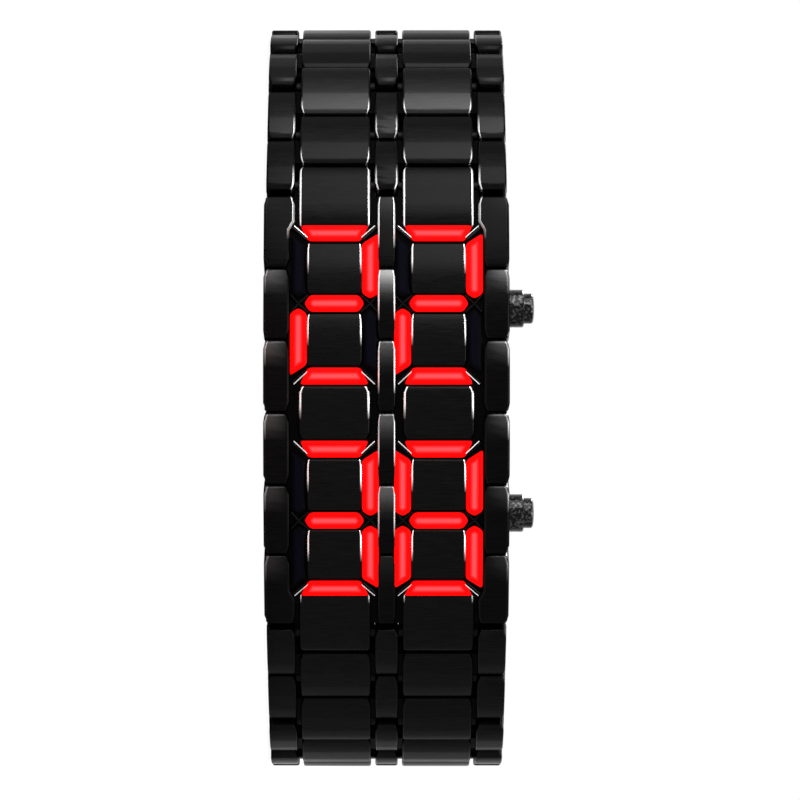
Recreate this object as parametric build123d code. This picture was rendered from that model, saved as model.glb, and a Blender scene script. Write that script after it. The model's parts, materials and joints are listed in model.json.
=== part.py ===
from build123d import *
import math
import os

os.makedirs("parts", exist_ok=True)

# A link bracelet watch whose case front is made of links too, with light bars set between them.
# It lies on its left flank: X runs along the case from 12 o'clock to 6 o'clock, Y from the
# display back to the clasp, and Z across the bracelet from the left flank to the push buttons.

# Driving sizes, in millimetres and degrees
front_radius = 48.0
case_thickness = 9.4
row_count = 6
row_pitch = 7.15
end_row_extra = 0.5
link_pitch = 7.05
link_tilts = (45.0, 46.0, 64.0, 80.0, 104.0, 128.0, 150.0, 165.0)
overrun = 2.0
flat_count = 6
eye_flat_count = 12
turned_flat_count = 24

# Columns across the bracelet, which give the watch its width
outer_column = 2.8
wide_column = 6.95
middle_column = 2.3
column_gap = 0.45
bracelet_inset = 0.2
bracelet_width = 2 * outer_column + 2 * wide_column + middle_column + 4 * column_gap
case_width = bracelet_width + 2 * bracelet_inset

# A link's side view
crown_height = 2.1
shoulder_height = 1.6
shoulder_lean = 0.2
crown_slope = 1.4
knuckle_radius = 1.6
knuckle_corner_turn = 45.0
joint_gap = 0.22
link_bevel = 0.35
link_corner = 0.22
link_corner_length = 0.85
web_height = 0.7
web_gap = 0.08
pin_radius = 0.6
pin_flat = 0.53
pin_slip = 0.01
pin_play = 0.05
pin_recess = 0.15

# Case shell
groove_depth = 0.55
flank_notch = 0.3
side_block_depth = 5.2
middle_block_width = 1.75
block_gap = 0.16
block_bevel = 0.3
block_crown = 0.28
block_slope = 1.5
block_corner = 0.2
block_corner_length = 0.3
low_block_depth = 1.2
inner_block_inset = 0.8
row_gap = 0.225
mid_row_gap = 0.175
front_wall = 2.1
back_rim = 1.0
cover_thickness = 1.0
case_side_wall = 1.9
fit_gap = 0.05
back_corner_radius = 0.7

# Light bars, seven to a digit
bar_width = 1.5
bar_drop = 0.12
bar_depth = 1.5
bar_bevel = 0.2
bar_gap = 0.075
side_bar_gap = 0.125
cap_bar_outer_inset = 0.25
cap_bar_inner_inset = 1.0
middle_bar_inset = 0.65
bar_point = 0.5
side_bar_outer_stop = 0.18
side_bar_inner_stop = 1.15
side_bar_foot = 0.55

# Inside the case
gasket_width = 0.5
gasket_height = 0.4
gasket_margin = 0.15
screw_radius = 0.45
screw_head_radius = 0.7
screw_head_height = 0.4
screw_length = 2.6
screw_inset = 0.85
board_thickness = 0.4
chip_length = 0.8
chip_height = 0.7
chip_width = 0.8
cell_radius = 8.0
cell_thickness = 1.6
cell_gap = 0.25
pocket_play = 0.15
pocket_flat_count = 12
contact_thickness = 0.25
contact_width = 3.0
contact_length = 6.0

# Push buttons
tube_radius = 1.85
tube_bore_radius = 1.65
tube_lip_radius = 1.52
tube_lip = 0.3
tube_seat = 0.6
tube_reach = 1.4
button_radius = 1.48
button_flange_radius = 1.6
button_flange = 0.35
button_reach = 2.45
button_stem_radius = 0.6
button_stem_tip = 0.7
button_travel = 0.8
button_depth = 2.8
button_bevel = 0.2
spring_wire = 0.2
spring_turns = 2.5
spring_corner_count = 8
spring_radius = 1.3
seal_radius = 1.0
seal_height = 0.4
seal_recess = 0.55

# Folding clasp
blade_thickness = 0.9
blade_gap = 0.15
blade_drop = 2.4
blade_inset = 4.0
lug_width = 2.5
lug_gap = 0.1
clasp_knuckle_radius = 0.95
clasp_pin_radius = 0.5
clasp_pin_flat = 0.44
ear_radius = 1.4
ear_tip_gap = 0.25
ear_width = 1.8
cover_plate = 1.0
cover_crown = 1.5
cover_skirt = 1.0
cover_skirt_drop = 1.9
cover_height = 2.0
fold_inset = 4.9
cross_bar = 1.4
tip_radius = 0.35
tip_length = 0.3
blade_slot_width = 4.0
blade_slot_length = 12.0


def arc_point(radius, angle):
    """A point in the side view, at an angle from the middle of the front about the case's axis."""
    turn = math.radians(angle)
    return (radius * math.sin(turn), axis_y - radius * math.cos(turn))


def seat(radius, angle):
    """Stands a piece on the case's curve: its X along the curve and its Y inwards."""
    x, y = arc_point(radius, angle)
    return Location((x, y, 0), (0, 0, angle))


def span(face, z_low, z_high):
    """Extrudes a side view across the bracelet."""
    return Pos(0, 0, z_low) * extrude(face, amount=z_high - z_low)


def flats(radius, half_angle):
    """Corners of the flats, one a row, that follow a curve of this radius about the case's axis."""
    row = math.degrees(row_pitch / front_radius)
    last_row_middle = rows[-1] * row
    seams = [row * (number - row_count / 2) for number in range(1, row_count)]
    corners = []
    for angle in (-half_angle, *seams, half_angle):
        lean = half_angle - last_row_middle if abs(angle) == half_angle else row / 2
        corners.append(arc_point(radius / math.cos(math.radians(lean)), angle))
    return corners


def flatted_slab(inner_radius, outer_radius, half_angle, z_low, z_high):
    """A slab with one flat a row on both faces."""
    outline = flats(outer_radius, half_angle) + flats(inner_radius, half_angle)[::-1]
    return span(make_face(Polyline(*outline, outline[0])), z_low, z_high)


def backed_slab(inner_radius, outer_radius, half_angle, z_low, z_high):
    """A slab with one flat a row on its outer face and a smooth curve inside, at the wrist."""
    outer = flats(outer_radius, half_angle)
    start, stop = arc_point(inner_radius, -half_angle), arc_point(inner_radius, half_angle)
    back = ThreePointArc(stop, arc_point(inner_radius, 0), start)
    outline = Curve() + [Polyline(start, *outer, stop), back]
    return span(make_face(outline), z_low, z_high)


def rod(radius, x, y, z_low, z_high):
    """A round bar across the bracelet."""
    return span(Pos(x, y) * Circle(radius), z_low, z_high)


def flatted_rod(radius, x, y, z_low, z_high, count=flat_count):
    """A bar across the bracelet with flats, its corners on the circle."""
    return span(Pos(x, y) * RegularPolygon(radius, count), z_low, z_high)


def flatted_bore(radius, x, y, z_low, z_high, count=flat_count):
    """A bore with flats, none of them nearer to its middle than the radius."""
    face = RegularPolygon(radius, count, major_radius=False)
    return span(Pos(x, y) * face, z_low, z_high)


def plan_prism(x_low, x_high, z_low, z_high, corner, corner_length):
    """A piece's outline seen from the front, narrower towards both ends."""
    points = [
        (x_low, z_low + corner),
        (x_low + corner_length, z_low),
        (x_high - corner_length, z_low),
        (x_high, z_low + corner),
        (x_high, z_high - corner),
        (x_high - corner_length, z_high),
        (x_low + corner_length, z_high),
        (x_low, z_high - corner),
    ]
    outline = [(x, 0, z) for x, z in points]
    face = make_face(Polyline(*outline, outline[0]))
    return extrude(face, amount=case_thickness, dir=(0, -1, 0), both=True)


def bevelled(piece, bevel):
    """Bevels the long edges of a piece's top."""
    top = piece.faces().sort_by(Axis.Y)[0]
    return chamfer(top.edges().filter_by(Axis.X), length=bevel)


def mirrored(shape):
    """The same piece on the 12 o'clock side."""
    return mirror(shape, about=Plane.YZ)


# Places of the columns across the bracelet
left_outer = (bracelet_inset, bracelet_inset + outer_column)
left_wide = (left_outer[1] + column_gap, left_outer[1] + column_gap + wide_column)
middle = (left_wide[1] + column_gap, left_wide[1] + column_gap + middle_column)
right_wide = (case_width - left_wide[1], case_width - left_wide[0])
right_outer = (case_width - left_outer[1], case_width - left_outer[0])
narrow_columns = (left_outer, middle, right_outer)
wide_columns = (left_wide, right_wide)

# The rows of the case front, the digits' places, and the blocks and bars that fill them
rows = [number - (row_count - 1) / 2 for number in range(row_count)]
digit_row = row_count / 4
left_digit_z = (left_wide[0] + left_wide[1]) / 2
right_digit_z = case_width - left_digit_z
inner_block_width = wide_column - 2 * inner_block_inset
inner_block_length = row_pitch - bar_width - 2 * row_gap
mid_piece_length = row_pitch - bar_width - 2 * mid_row_gap
bar_column_offset = inner_block_width / 2 + bar_gap + bar_width / 2
side_block_width = left_digit_z - bar_column_offset - bar_width / 2 - side_bar_gap
cap_bar_outer_half = bar_column_offset - cap_bar_outer_inset
cap_bar_inner_half = bar_column_offset - cap_bar_inner_inset
middle_bar_half = bar_column_offset - middle_bar_inset

# Radii and angles of the case about its axis
pin_circle = front_radius - crown_height
back_radius = front_radius - case_thickness
cover_seat_radius = back_radius + cover_thickness
ceiling_radius = front_radius - front_wall
side_angle = math.degrees((row_count / 2 * row_pitch + end_row_extra) / front_radius)
pin_angle = side_angle + math.degrees((knuckle_radius + joint_gap) / pin_circle)
recess_angle = side_angle - math.degrees(flank_notch / back_radius)
screw_angle = recess_angle - math.degrees(screw_inset / back_radius)
gasket_angle = screw_angle - math.degrees((screw_head_radius + gasket_margin) / back_radius)
cavity_angle = gasket_angle - math.degrees((gasket_width + gasket_margin) / back_radius)
board_angle = cavity_angle - math.degrees(fit_gap / back_radius)
digit_angle = math.degrees(digit_row * row_pitch / front_radius)

# The case's axis, set so that the whole loop is centred on the origin
pin_rise = front_radius - pin_circle * math.cos(math.radians(pin_angle))
link_rise = sum(link_pitch * math.sin(math.radians(tilt)) for tilt in link_tilts)
whole_depth = pin_rise + link_rise + cover_height + cover_crown
axis_y = front_radius - whole_depth / 2

# The pins' places down one side of the loop, from the case to the clasp
hinge_points = [arc_point(pin_circle, pin_angle)]
for tilt in link_tilts:
    x, y = hinge_points[-1]
    turn = math.radians(tilt)
    hinge_points.append((x + link_pitch * math.cos(turn), y + link_pitch * math.sin(turn)))
clasp_x, clasp_y = hinge_points[-1]


# Links

flat_end_share = 0.25
knuckle_flat = knuckle_radius * math.tan(math.radians(knuckle_corner_turn / 2))


def column_side_view(pin_x, flat_x, face):
    """One column of a link: a knuckle with a flatted corner at its pin, a crown, and a flat end."""
    round_x = pin_x + face * knuckle_radius
    outline = [
        (flat_x, knuckle_radius),
        (pin_x + face * knuckle_flat, knuckle_radius),
        (round_x, knuckle_flat),
        (round_x - face * shoulder_lean, -shoulder_height),
        (round_x - face * (shoulder_lean + crown_slope), -crown_height),
        (flat_x + face * (shoulder_lean + crown_slope), -crown_height),
        (flat_x + face * shoulder_lean, -shoulder_height),
    ]
    return make_face(Polyline(*outline, outline[0]))


def link_column(pin_x, flat_x, face, z_low, z_high, bore, corner=0):
    """A crowned column with the bore for its pin, narrower at both ends if it has a corner."""
    column = span(column_side_view(pin_x, flat_x, face), z_low, z_high)
    if corner:
        ends = sorted((flat_x, pin_x + face * knuckle_radius))
        plan = plan_prism(*ends, z_low, z_high, corner, link_corner_length)
        column = (column & plan).solid()
    return bevelled(column, link_bevel) - bore


wide_flat = link_pitch * flat_end_share + joint_gap / 2
narrow_flat = link_pitch * (1 - flat_end_share) - joint_gap / 2


def wide_piece(z_low, z_high):
    bore = flatted_bore(pin_radius + pin_play, link_pitch, 0, z_low - overrun, z_high + overrun)
    return link_column(link_pitch, wide_flat, 1, z_low, z_high, bore, link_corner)


def narrow_piece(z_low, z_high):
    bore = flatted_bore(pin_flat + pin_slip, 0, 0, z_low - overrun, z_high + overrun)
    return link_column(0, narrow_flat, -1, z_low, z_high, bore)


def link():
    """Three narrow columns nearer the case and two wide ones further away, joined by a low web."""
    web_face = make_face(
        Polyline(
            (wide_flat + web_gap, -web_height),
            (narrow_flat - web_gap, -web_height),
            (narrow_flat - web_gap, knuckle_radius),
            (wide_flat + web_gap, knuckle_radius),
            (wide_flat + web_gap, -web_height),
        )
    )
    web = span(web_face, left_outer[1] - link_bevel, right_outer[0] + link_bevel)
    columns = [narrow_piece(*column) for column in narrow_columns]
    columns += [wide_piece(*column) for column in wide_columns]
    return web.fuse(*columns)


def flatted_pin(radius, flat, x, y, z_low, z_high):
    """A round pin with flats ground on it, which key it in the piece that holds it."""
    return (rod(radius, x, y, z_low, z_high) & flatted_bore(flat, x, y, z_low, z_high)).solid()


def link_pin():
    """The pin that a link's narrow columns hold."""
    z_low, z_high = left_outer[0] + pin_recess, right_outer[1] - pin_recess
    return flatted_pin(pin_radius, pin_flat, 0, 0, z_low, z_high)


one_link = link()
one_pin = link_pin()
for number, tilt in enumerate(link_tilts, start=1):
    x, y = hinge_points[number - 1]
    place = Location((x, y, 0), (0, 0, tilt))
    export_step(place * one_link, f"parts/lower_link_{number}.step")
    export_step(mirrored(place * one_link), f"parts/upper_link_{number}.step")
    export_step(place * one_pin, f"parts/lower_link_pin_{number}.step")
    export_step(mirrored(place * one_pin), f"parts/upper_link_pin_{number}.step")


# Case shell


def block(length, z_low, z_high, depth, corner=0):
    """One crowned block of the case front, its top at zero."""
    half = length / 2
    outline = [
        (-half, block_crown),
        (-half + block_slope, 0),
        (half - block_slope, 0),
        (half, block_crown),
        (half, depth),
        (-half, depth),
    ]
    side = span(make_face(Polyline(*outline, outline[0])), z_low, z_high)
    if corner:
        plan = plan_prism(-half, half, z_low, z_high, corner, block_corner_length)
        side = (side & plan).solid()
    return bevelled(side, block_bevel)


def row_angle(row):
    """The middle of a block row, counted from the middle of the case."""
    return math.degrees(row * row_pitch / front_radius)


def front_blocks():
    """All raised blocks: the side columns, the middle column, the digits' inner and mid pieces."""
    centre = case_width / 2
    blocks = []
    for row in rows:
        extra = end_row_extra if abs(row) == rows[-1] else 0
        length = row_pitch + extra - block_gap
        shift = math.copysign(extra / 2, row)
        place = seat(front_radius, row_angle(row) + math.degrees(shift / front_radius))
        for edge in (0, case_width - side_block_width):
            sides = (edge, edge + side_block_width)
            blocks.append(place * block(length, *sides, side_block_depth, block_corner))
        half = middle_block_width / 2
        blocks.append(place * block(length, centre - half, centre + half, low_block_depth))
    inner_rows = [sign * (digit_row + side) for sign in (-1, 1) for side in (-0.5, 0.5)]
    for z in (left_digit_z, right_digit_z):
        half = inner_block_width / 2
        for row in inner_rows:
            place = seat(front_radius, row_angle(row))
            inner = block(inner_block_length, z - half, z + half, low_block_depth)
            blocks.append(place * inner)
        wide = wide_column / 2
        place = seat(front_radius, 0)
        mid = block(mid_piece_length, z - wide, z + wide, low_block_depth)
        blocks.append(place * mid)
    return blocks


def end_pieces():
    """The wide pieces at both ends, which hold the first pins."""
    x, y = hinge_points[0]
    tilt = pin_angle - math.degrees(link_pitch / 2 / front_radius) / 2
    place = Location((x, y, 0), (0, 0, tilt)) * Pos(-link_pitch, 0)
    lower = [place * wide_piece(*column) for column in wide_columns]
    return lower + [mirrored(piece) for piece in lower]


def cap_bar(length_sign):
    """The top or bottom bar of a digit, shorter on its inner side."""
    outer, inner = length_sign * bar_width / 2, -length_sign * bar_width / 2
    return [
        (outer, -cap_bar_outer_half),
        (outer, cap_bar_outer_half),
        (inner, cap_bar_inner_half),
        (inner, -cap_bar_inner_half),
    ]


def middle_bar():
    """The bar across the middle of a digit, pointed at both ends."""
    edge, tip = middle_bar_half - bar_point, middle_bar_half
    half = bar_width / 2
    return [(-half, -edge), (-half, edge), (0, tip), (half, edge), (half, -edge), (0, -tip)]


def side_bar(length_sign, side_sign):
    """An upright bar: mitred beside the cap bar and pointed beside the middle bar."""
    half = bar_width / 2
    middle_row = row_pitch / 2
    outer_stop = row_pitch - side_bar_outer_stop - middle_row
    inner_stop = row_pitch - side_bar_inner_stop - middle_row
    foot = side_bar_foot - middle_row
    points = [
        (outer_stop, half),
        (inner_stop, -half),
        (foot + bar_point, -half),
        (foot, 0),
        (foot + bar_point, half),
    ]
    return [(length_sign * x, side_sign * z) for x, z in points]


def bar_prism(points, angle, z, low, high):
    """Stands a bar's outline, given along and across the case, on the curve between two radii."""
    outline = [(x, 0, z + across) for x, across in points]
    face = make_face(Polyline(*outline, outline[0]))
    return seat(low, angle) * extrude(face, amount=high - low, dir=(0, -1, 0))


bar_top_radius = front_radius - bar_drop
bar_foot_radius = bar_top_radius - bar_depth
segment_letters = "abcdefg"


def segment(letter):
    """A bar's outline, its row along the case and its place beside the digit's middle."""
    rows = {"a": -1, "b": -0.5, "c": 0.5, "d": 1, "e": 0.5, "f": -0.5, "g": 0}
    row = rows[letter]
    length_sign = math.copysign(1, row)
    if letter in "ad":
        return cap_bar(length_sign), row, 0
    if letter == "g":
        return middle_bar(), row, 0
    side_sign = 1 if letter in "bc" else -1
    return side_bar(length_sign, side_sign), row, side_sign * bar_column_offset


def digit_bars(digit_row, digit_z, low, high):
    """All seven bars of a digit by letter."""
    bars = {}
    for letter in segment_letters:
        outline, row, side = segment(letter)
        angle = row_angle(digit_row + row)
        bars[letter] = bar_prism(outline, angle, digit_z + side, low, high)
    return bars


digits = {
    "hour_tens": (-digit_row, left_digit_z, "abged"),
    "hour_units": (-digit_row, right_digit_z, "abged"),
    "minute_tens": (digit_row, left_digit_z, "abgcd"),
    "minute_units": (digit_row, right_digit_z, "abcdefg"),
}

button_circle = front_radius - button_depth
button_places = {"upper": arc_point(button_circle, -digit_angle)}
button_places["lower"] = arc_point(button_circle, digit_angle)
tube_floor = case_width - tube_seat
cavity_low = case_side_wall + flank_notch
cavity_high = case_width - cavity_low
recess_low = flank_notch + back_rim
recess_high = case_width - recess_low
screw_places = [
    (angle, z)
    for angle in (-screw_angle, screw_angle)
    for z in (recess_low + 3 * screw_inset, recess_high - 3 * screw_inset)
]


def radial_rod(radius, angle, z, low, high):
    """A bar with flats that points at the case's axis, between two radii."""
    upright = extrude(Plane.XZ * RegularPolygon(radius, flat_count), amount=high - low)
    return seat(low, angle) * Pos(0, 0, z) * upright


def case_shell():
    floor_radius = front_radius - groove_depth
    body = backed_slab(back_radius, floor_radius, side_angle, flank_notch, case_width - flank_notch)
    back_edges = body.edges().filter_by(Axis.Z).sort_by(Axis.Y)[-2:]
    body = fillet(back_edges, radius=back_corner_radius)
    body = body.fuse(*front_blocks(), *end_pieces())
    cavity = flatted_slab(cover_seat_radius, ceiling_radius, cavity_angle, cavity_low, cavity_high)
    recess = flatted_slab(
        back_radius - overrun, cover_seat_radius, recess_angle, recess_low, recess_high
    )
    cuts = [cavity, recess, gasket_ring(cover_seat_radius)]
    for row, z, _ in digits.values():
        slots = digit_bars(row, z, ceiling_radius - fit_gap, front_radius + overrun)
        cuts += list(slots.values())
    for angle, z in screw_places:
        top = cover_seat_radius - cover_thickness + screw_length
        cuts.append(radial_rod(screw_radius, angle, z, back_radius - overrun, top))
    for x, y in button_places.values():
        top = case_width + overrun
        cuts.append(flatted_rod(tube_radius, x, y, tube_floor, top, turned_flat_count))
        cuts.append(flatted_bore(seal_radius + fit_gap, x, y, tube_floor - seal_recess, case_width))
        cuts.append(
            flatted_bore(button_stem_radius + pin_play, x, y, cavity_high - overrun, case_width)
        )
    return body.cut(*cuts)


def gasket_ring(inner_radius):
    """The seal in its groove round the mouth of the case."""
    outer = flatted_slab(
        inner_radius,
        inner_radius + gasket_height,
        gasket_angle,
        cavity_low - gasket_margin - gasket_width,
        cavity_high + gasket_margin + gasket_width,
    )
    hole_angle = gasket_angle - math.degrees(gasket_width / back_radius)
    hole = flatted_slab(
        inner_radius - overrun,
        inner_radius + overrun,
        hole_angle,
        cavity_low - gasket_margin,
        cavity_high + gasket_margin,
    )
    return outer - hole


def back_cover():
    plate = backed_slab(
        back_radius,
        cover_seat_radius,
        recess_angle - math.degrees(fit_gap / back_radius),
        recess_low + fit_gap,
        recess_high - fit_gap,
    )
    holes = []
    for angle, z in screw_places:
        holes.append(
            radial_rod(
                screw_radius, angle, z, back_radius - overrun, cover_seat_radius + overrun
            )
        )
        top = back_radius + screw_head_height
        holes.append(radial_rod(screw_head_radius, angle, z, back_radius - overrun, top))
    return plate.cut(*holes)


def back_screws():
    screws = []
    for angle, z in screw_places:
        head_top = back_radius + screw_head_height
        head_radius = screw_head_radius - pin_slip
        head = radial_rod(head_radius, angle, z, back_radius, head_top)
        shank_top = back_radius + screw_length
        shank_radius = screw_radius - pin_slip
        shank = radial_rod(shank_radius, angle, z, back_radius, shank_top)
        screws.append(head + shank)
    return Compound(children=[screw.solid() for screw in screws])


export_step(case_shell(), "parts/case_shell.step")
export_step(back_cover(), "parts/back_cover.step")
export_step(back_screws(), "parts/back_screws.step")
export_step(gasket_ring(cover_seat_radius), "parts/back_gasket.step")


# Light bars, lit and unlit


def light_bar(prism):
    """A resin bar with a bevelled face."""
    top = prism.faces().sort_by(Axis.Y)[0]
    return chamfer(top.edges(), length=bar_bevel).solid()


unlit = []
for name, (row, z, lit) in digits.items():
    bars = digit_bars(row, z, bar_foot_radius, bar_top_radius)
    glowing = [light_bar(bars[letter]) for letter in segment_letters if letter in lit]
    unlit += [light_bar(bars[letter]) for letter in segment_letters if letter not in lit]
    export_step(Compound(children=glowing), f"parts/lit_bars_{name}.step")
export_step(Compound(children=unlit), "parts/unlit_bars.step")


# Module

board_top = ceiling_radius - chip_height + 3 * fit_gap
board_bottom = board_top - board_thickness
module_low = cavity_low + 2 * fit_gap
module_high = cavity_high - 2 * fit_gap


def circuit_board():
    return flatted_slab(board_bottom, board_top, board_angle, module_low, module_high)


def led_chips():
    """One light source on the board under each bar."""
    chips = []
    for row, z, _ in digits.values():
        for letter in segment_letters:
            _, bar_row, side = segment(letter)
            angle = row_angle(row + bar_row)
            chip = Box(chip_length, chip_height, chip_width)
            on_edge = (row + bar_row) % 1 == 0
            rise = board_top / math.cos(math.radians(row_angle(0.5))) - board_top
            lift = board_top + chip_height / 2 + fit_gap + (rise if on_edge else 0)
            chips.append(seat(lift, angle) * Pos(0, 0, z + side) * chip)
    return Compound(children=[chip.solid() for chip in chips])


inner_cell_low = cover_seat_radius + cell_gap
outer_cell_low = inner_cell_low + cell_thickness + fit_gap
cell_stack_top = outer_cell_low + cell_thickness
contact_top = cell_stack_top + fit_gap + contact_thickness
centre_z = case_width / 2


def flatted_pocket(radius, low, high):
    """A pocket whose flats all clear a round cell of this radius."""
    face = Plane.XZ * RegularPolygon(radius, pocket_flat_count, major_radius=False)
    return seat(low, 0) * Pos(0, 0, centre_z) * extrude(face, amount=high - low)


def module_frame():
    """The plastic carrier between the board and the back, with a pocket for the two cells."""
    frame = flatted_slab(
        cover_seat_radius + fit_gap,
        board_bottom - fit_gap,
        board_angle,
        module_low + fit_gap,
        module_high - fit_gap,
    )
    pocket_radius = cell_radius + pocket_play
    pocket = flatted_pocket(pocket_radius, back_radius, contact_top + fit_gap)
    leg_room = seat(board_bottom, 0) * Pos(contact_length / 2, 0, centre_z) * Box(
        contact_thickness + 2 * fit_gap, front_radius - back_radius, contact_width + 2 * fit_gap
    )
    slot = leg_room & flatted_slab(
        contact_top - contact_thickness, board_top, board_angle, module_low, module_high
    )
    return frame.cut(pocket, slot)


def battery_contact():
    """A spring leaf on the outer cell with a leg up to the board."""
    leaf = seat(contact_top - contact_thickness / 2, 0) * Pos(0, 0, centre_z) * Box(
        contact_length + contact_thickness, contact_thickness, contact_width
    )
    leg_height = board_bottom - fit_gap - contact_top
    leg = seat(contact_top + leg_height / 2 - fit_gap, 0) * Pos(contact_length / 2, 0, centre_z) * Box(
        contact_thickness, leg_height, contact_width
    )
    return leaf + leg


def cell(low):
    """A coin cell, its rim in flats."""
    upright = extrude(Plane.XZ * RegularPolygon(cell_radius, turned_flat_count), amount=cell_thickness)
    return seat(low, 0) * Pos(0, 0, centre_z) * upright


export_step(circuit_board(), "parts/circuit_board.step")
export_step(led_chips(), "parts/led_chips.step")
export_step(module_frame(), "parts/module_frame.step")
export_step(battery_contact(), "parts/battery_contact.step")
export_step(cell(inner_cell_low), "parts/battery_inner.step")
export_step(cell(outer_cell_low), "parts/battery_outer.step")


# Push buttons

button_foot = tube_floor + button_travel + 2 * spring_wire
button_tip = case_width + button_reach
tube_mouth = case_width + tube_reach
spring_length = button_foot - tube_floor


def button_tube(x, y):
    """The guide pressed into the flank, with a lip that keeps the button in."""
    tube = flatted_rod(tube_radius, x, y, tube_floor, tube_mouth, turned_flat_count)
    bore = flatted_bore(tube_bore_radius, x, y, tube_floor, tube_mouth - tube_lip, eye_flat_count)
    top = tube_mouth + overrun
    mouth = flatted_bore(tube_lip_radius, x, y, tube_floor, top, turned_flat_count)
    return (tube - bore - mouth).solid()


def button(x, y):
    """The head, with a cornered collar behind the tube's lip and a stem through the seal."""
    head_foot = button_foot + button_flange
    head = flatted_rod(button_radius, x, y, head_foot, button_tip, turned_flat_count)
    rim = head.faces().sort_by(Axis.Z)[-1].edges()
    head = chamfer(rim, length=button_bevel)
    flange = flatted_rod(button_flange_radius, x, y, button_foot, button_foot + button_flange)
    stem = flatted_rod(button_stem_radius, x, y, cavity_high + button_stem_tip, button_foot)
    return head + flange + stem


def button_spring(x, y):
    """A square coil between the tube's floor and the button."""
    rise = spring_length - spring_wire - 2 * fit_gap
    corner_count = int(spring_turns * spring_corner_count)
    corners = []
    for corner in range(corner_count + 1):
        turn = 2 * math.pi * corner / spring_corner_count
        height = rise * corner / corner_count
        corners.append((spring_radius * math.cos(turn), spring_radius * math.sin(turn), height))
    path = Polyline(*corners)
    profile = Plane(origin=path @ 0, z_dir=path % 0) * Rectangle(spring_wire, spring_wire)
    coil = sweep(profile, path=path, transition=Transition.RIGHT)
    return Pos(x, y, tube_floor + spring_wire / 2 + fit_gap) * coil


def seal(x, y):
    low = tube_floor - seal_recess
    ring = flatted_rod(seal_radius, x, y, low, low + seal_height)
    hole = flatted_rod(button_stem_radius + pin_slip, x, y, low, low + seal_height)
    return (ring - hole).solid()


tubes, seals = [], []
for side, (x, y) in button_places.items():
    tubes.append(button_tube(x, y))
    seals.append(seal(x, y))
    export_step(button(x, y), f"parts/{side}_button.step")
    export_step(button_spring(x, y), f"parts/{side}_button_spring.step")
export_step(Compound(children=tubes), "parts/button_tubes.step")
export_step(Compound(children=seals), "parts/button_seals.step")


# Folding clasp: the cover outside, the middle blade under it and the bottom blade at the wrist

cover_half = clasp_x - knuckle_radius - joint_gap
fold_x = clasp_x - fold_inset
cover_fold_x = fold_x + clasp_knuckle_radius / 2
blade_top = clasp_y - blade_drop
bottom_blade_face = blade_top + blade_thickness
middle_blade_low = bottom_blade_face + blade_gap
fold_y = middle_blade_low + clasp_knuckle_radius
lug_low = blade_inset
lug_high = case_width - lug_low
knuckle_low = lug_low + lug_width + lug_gap
knuckle_high = lug_high - lug_width - lug_gap
ear_low = cover_skirt + lug_gap
cover_outer = clasp_y + cover_height


def slab(x_low, x_high, y_low, y_high, z_low, z_high):
    corner = (x_low, y_low, z_low)
    size = (x_high - x_low, y_high - y_low, z_high - z_low)
    return Pos(*corner) * Box(*size, align=(Align.MIN, Align.MIN, Align.MIN))


def eye(radius, x, y, z_low, z_high):
    """The rounded end of a blade or ear about its pin."""
    return flatted_rod(radius, x, y, z_low, z_high, eye_flat_count)


def bottom_blade():
    """The blade against the wrist, hung on the 6 o'clock spring bar and hinged at its other end."""
    cross_x = clasp_x - ear_radius - cross_bar
    blade = slab(-fold_x, cross_x, blade_top, bottom_blade_face, lug_low, lug_high)
    cross = slab(
        cross_x - cross_bar, clasp_x - ear_radius - joint_gap, blade_top, bottom_blade_face,
        ear_low, case_width - ear_low,
    )
    window = slab(
        -blade_slot_length / 2, blade_slot_length / 2, blade_top - overrun, clasp_y,
        centre_z - blade_slot_width / 2, centre_z + blade_slot_width / 2,
    )
    pieces = [cross]
    for z_low, z_high in ((lug_low, lug_low + lug_width), (lug_high - lug_width, lug_high)):
        pieces.append(eye(clasp_knuckle_radius, -fold_x, fold_y, z_low, z_high))
        pieces.append(
            slab(
                -fold_x - clasp_knuckle_radius, -fold_x + clasp_knuckle_radius,
                blade_top, fold_y, z_low, z_high,
            )
        )
    ears = (
        (ear_low, left_outer[1]),
        (middle[0], middle[1]),
        (right_outer[0], case_width - ear_low),
    )
    for z_low, z_high in ears:
        pieces.append(eye(ear_radius, clasp_x, clasp_y, z_low, z_high))
        root_x = clasp_x - ear_radius - cross_bar / 2
        pieces.append(slab(root_x, clasp_x, blade_top, clasp_y - ear_radius / 4, z_low, z_high))
    bores = [
        flatted_bore(pin_radius + pin_slip, clasp_x, clasp_y, -overrun, case_width + overrun),
        flatted_bore(clasp_pin_radius + pin_play, -fold_x, fold_y, -overrun, case_width + overrun),
    ]
    return blade.fuse(*pieces).cut(window, *bores)


def middle_blade():
    """The blade between the two folds, with a knuckle at each end."""
    blade = slab(
        -fold_x, cover_fold_x, middle_blade_low, middle_blade_low + blade_thickness,
        knuckle_low, knuckle_high,
    )
    knuckles = [
        eye(clasp_knuckle_radius, x, fold_y, knuckle_low, knuckle_high)
        for x in (-fold_x, cover_fold_x)
    ]
    window = slab(
        -blade_slot_length / 2, blade_slot_length / 2, blade_top, clasp_y + overrun,
        centre_z - blade_slot_width / 2, centre_z + blade_slot_width / 2,
    )
    bores = [
        flatted_bore(clasp_pin_flat + pin_slip, x, fold_y, -overrun, case_width + overrun)
        for x in (-fold_x, cover_fold_x)
    ]
    return blade.fuse(*knuckles).cut(window, *bores)


def clasp_hinge_pins():
    z_low, z_high = lug_low + pin_recess, lug_high - pin_recess
    pins = [
        flatted_pin(clasp_pin_radius, clasp_pin_flat, x, fold_y, z_low, z_high)
        for x in (-fold_x, cover_fold_x)
    ]
    return Compound(children=pins)


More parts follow.
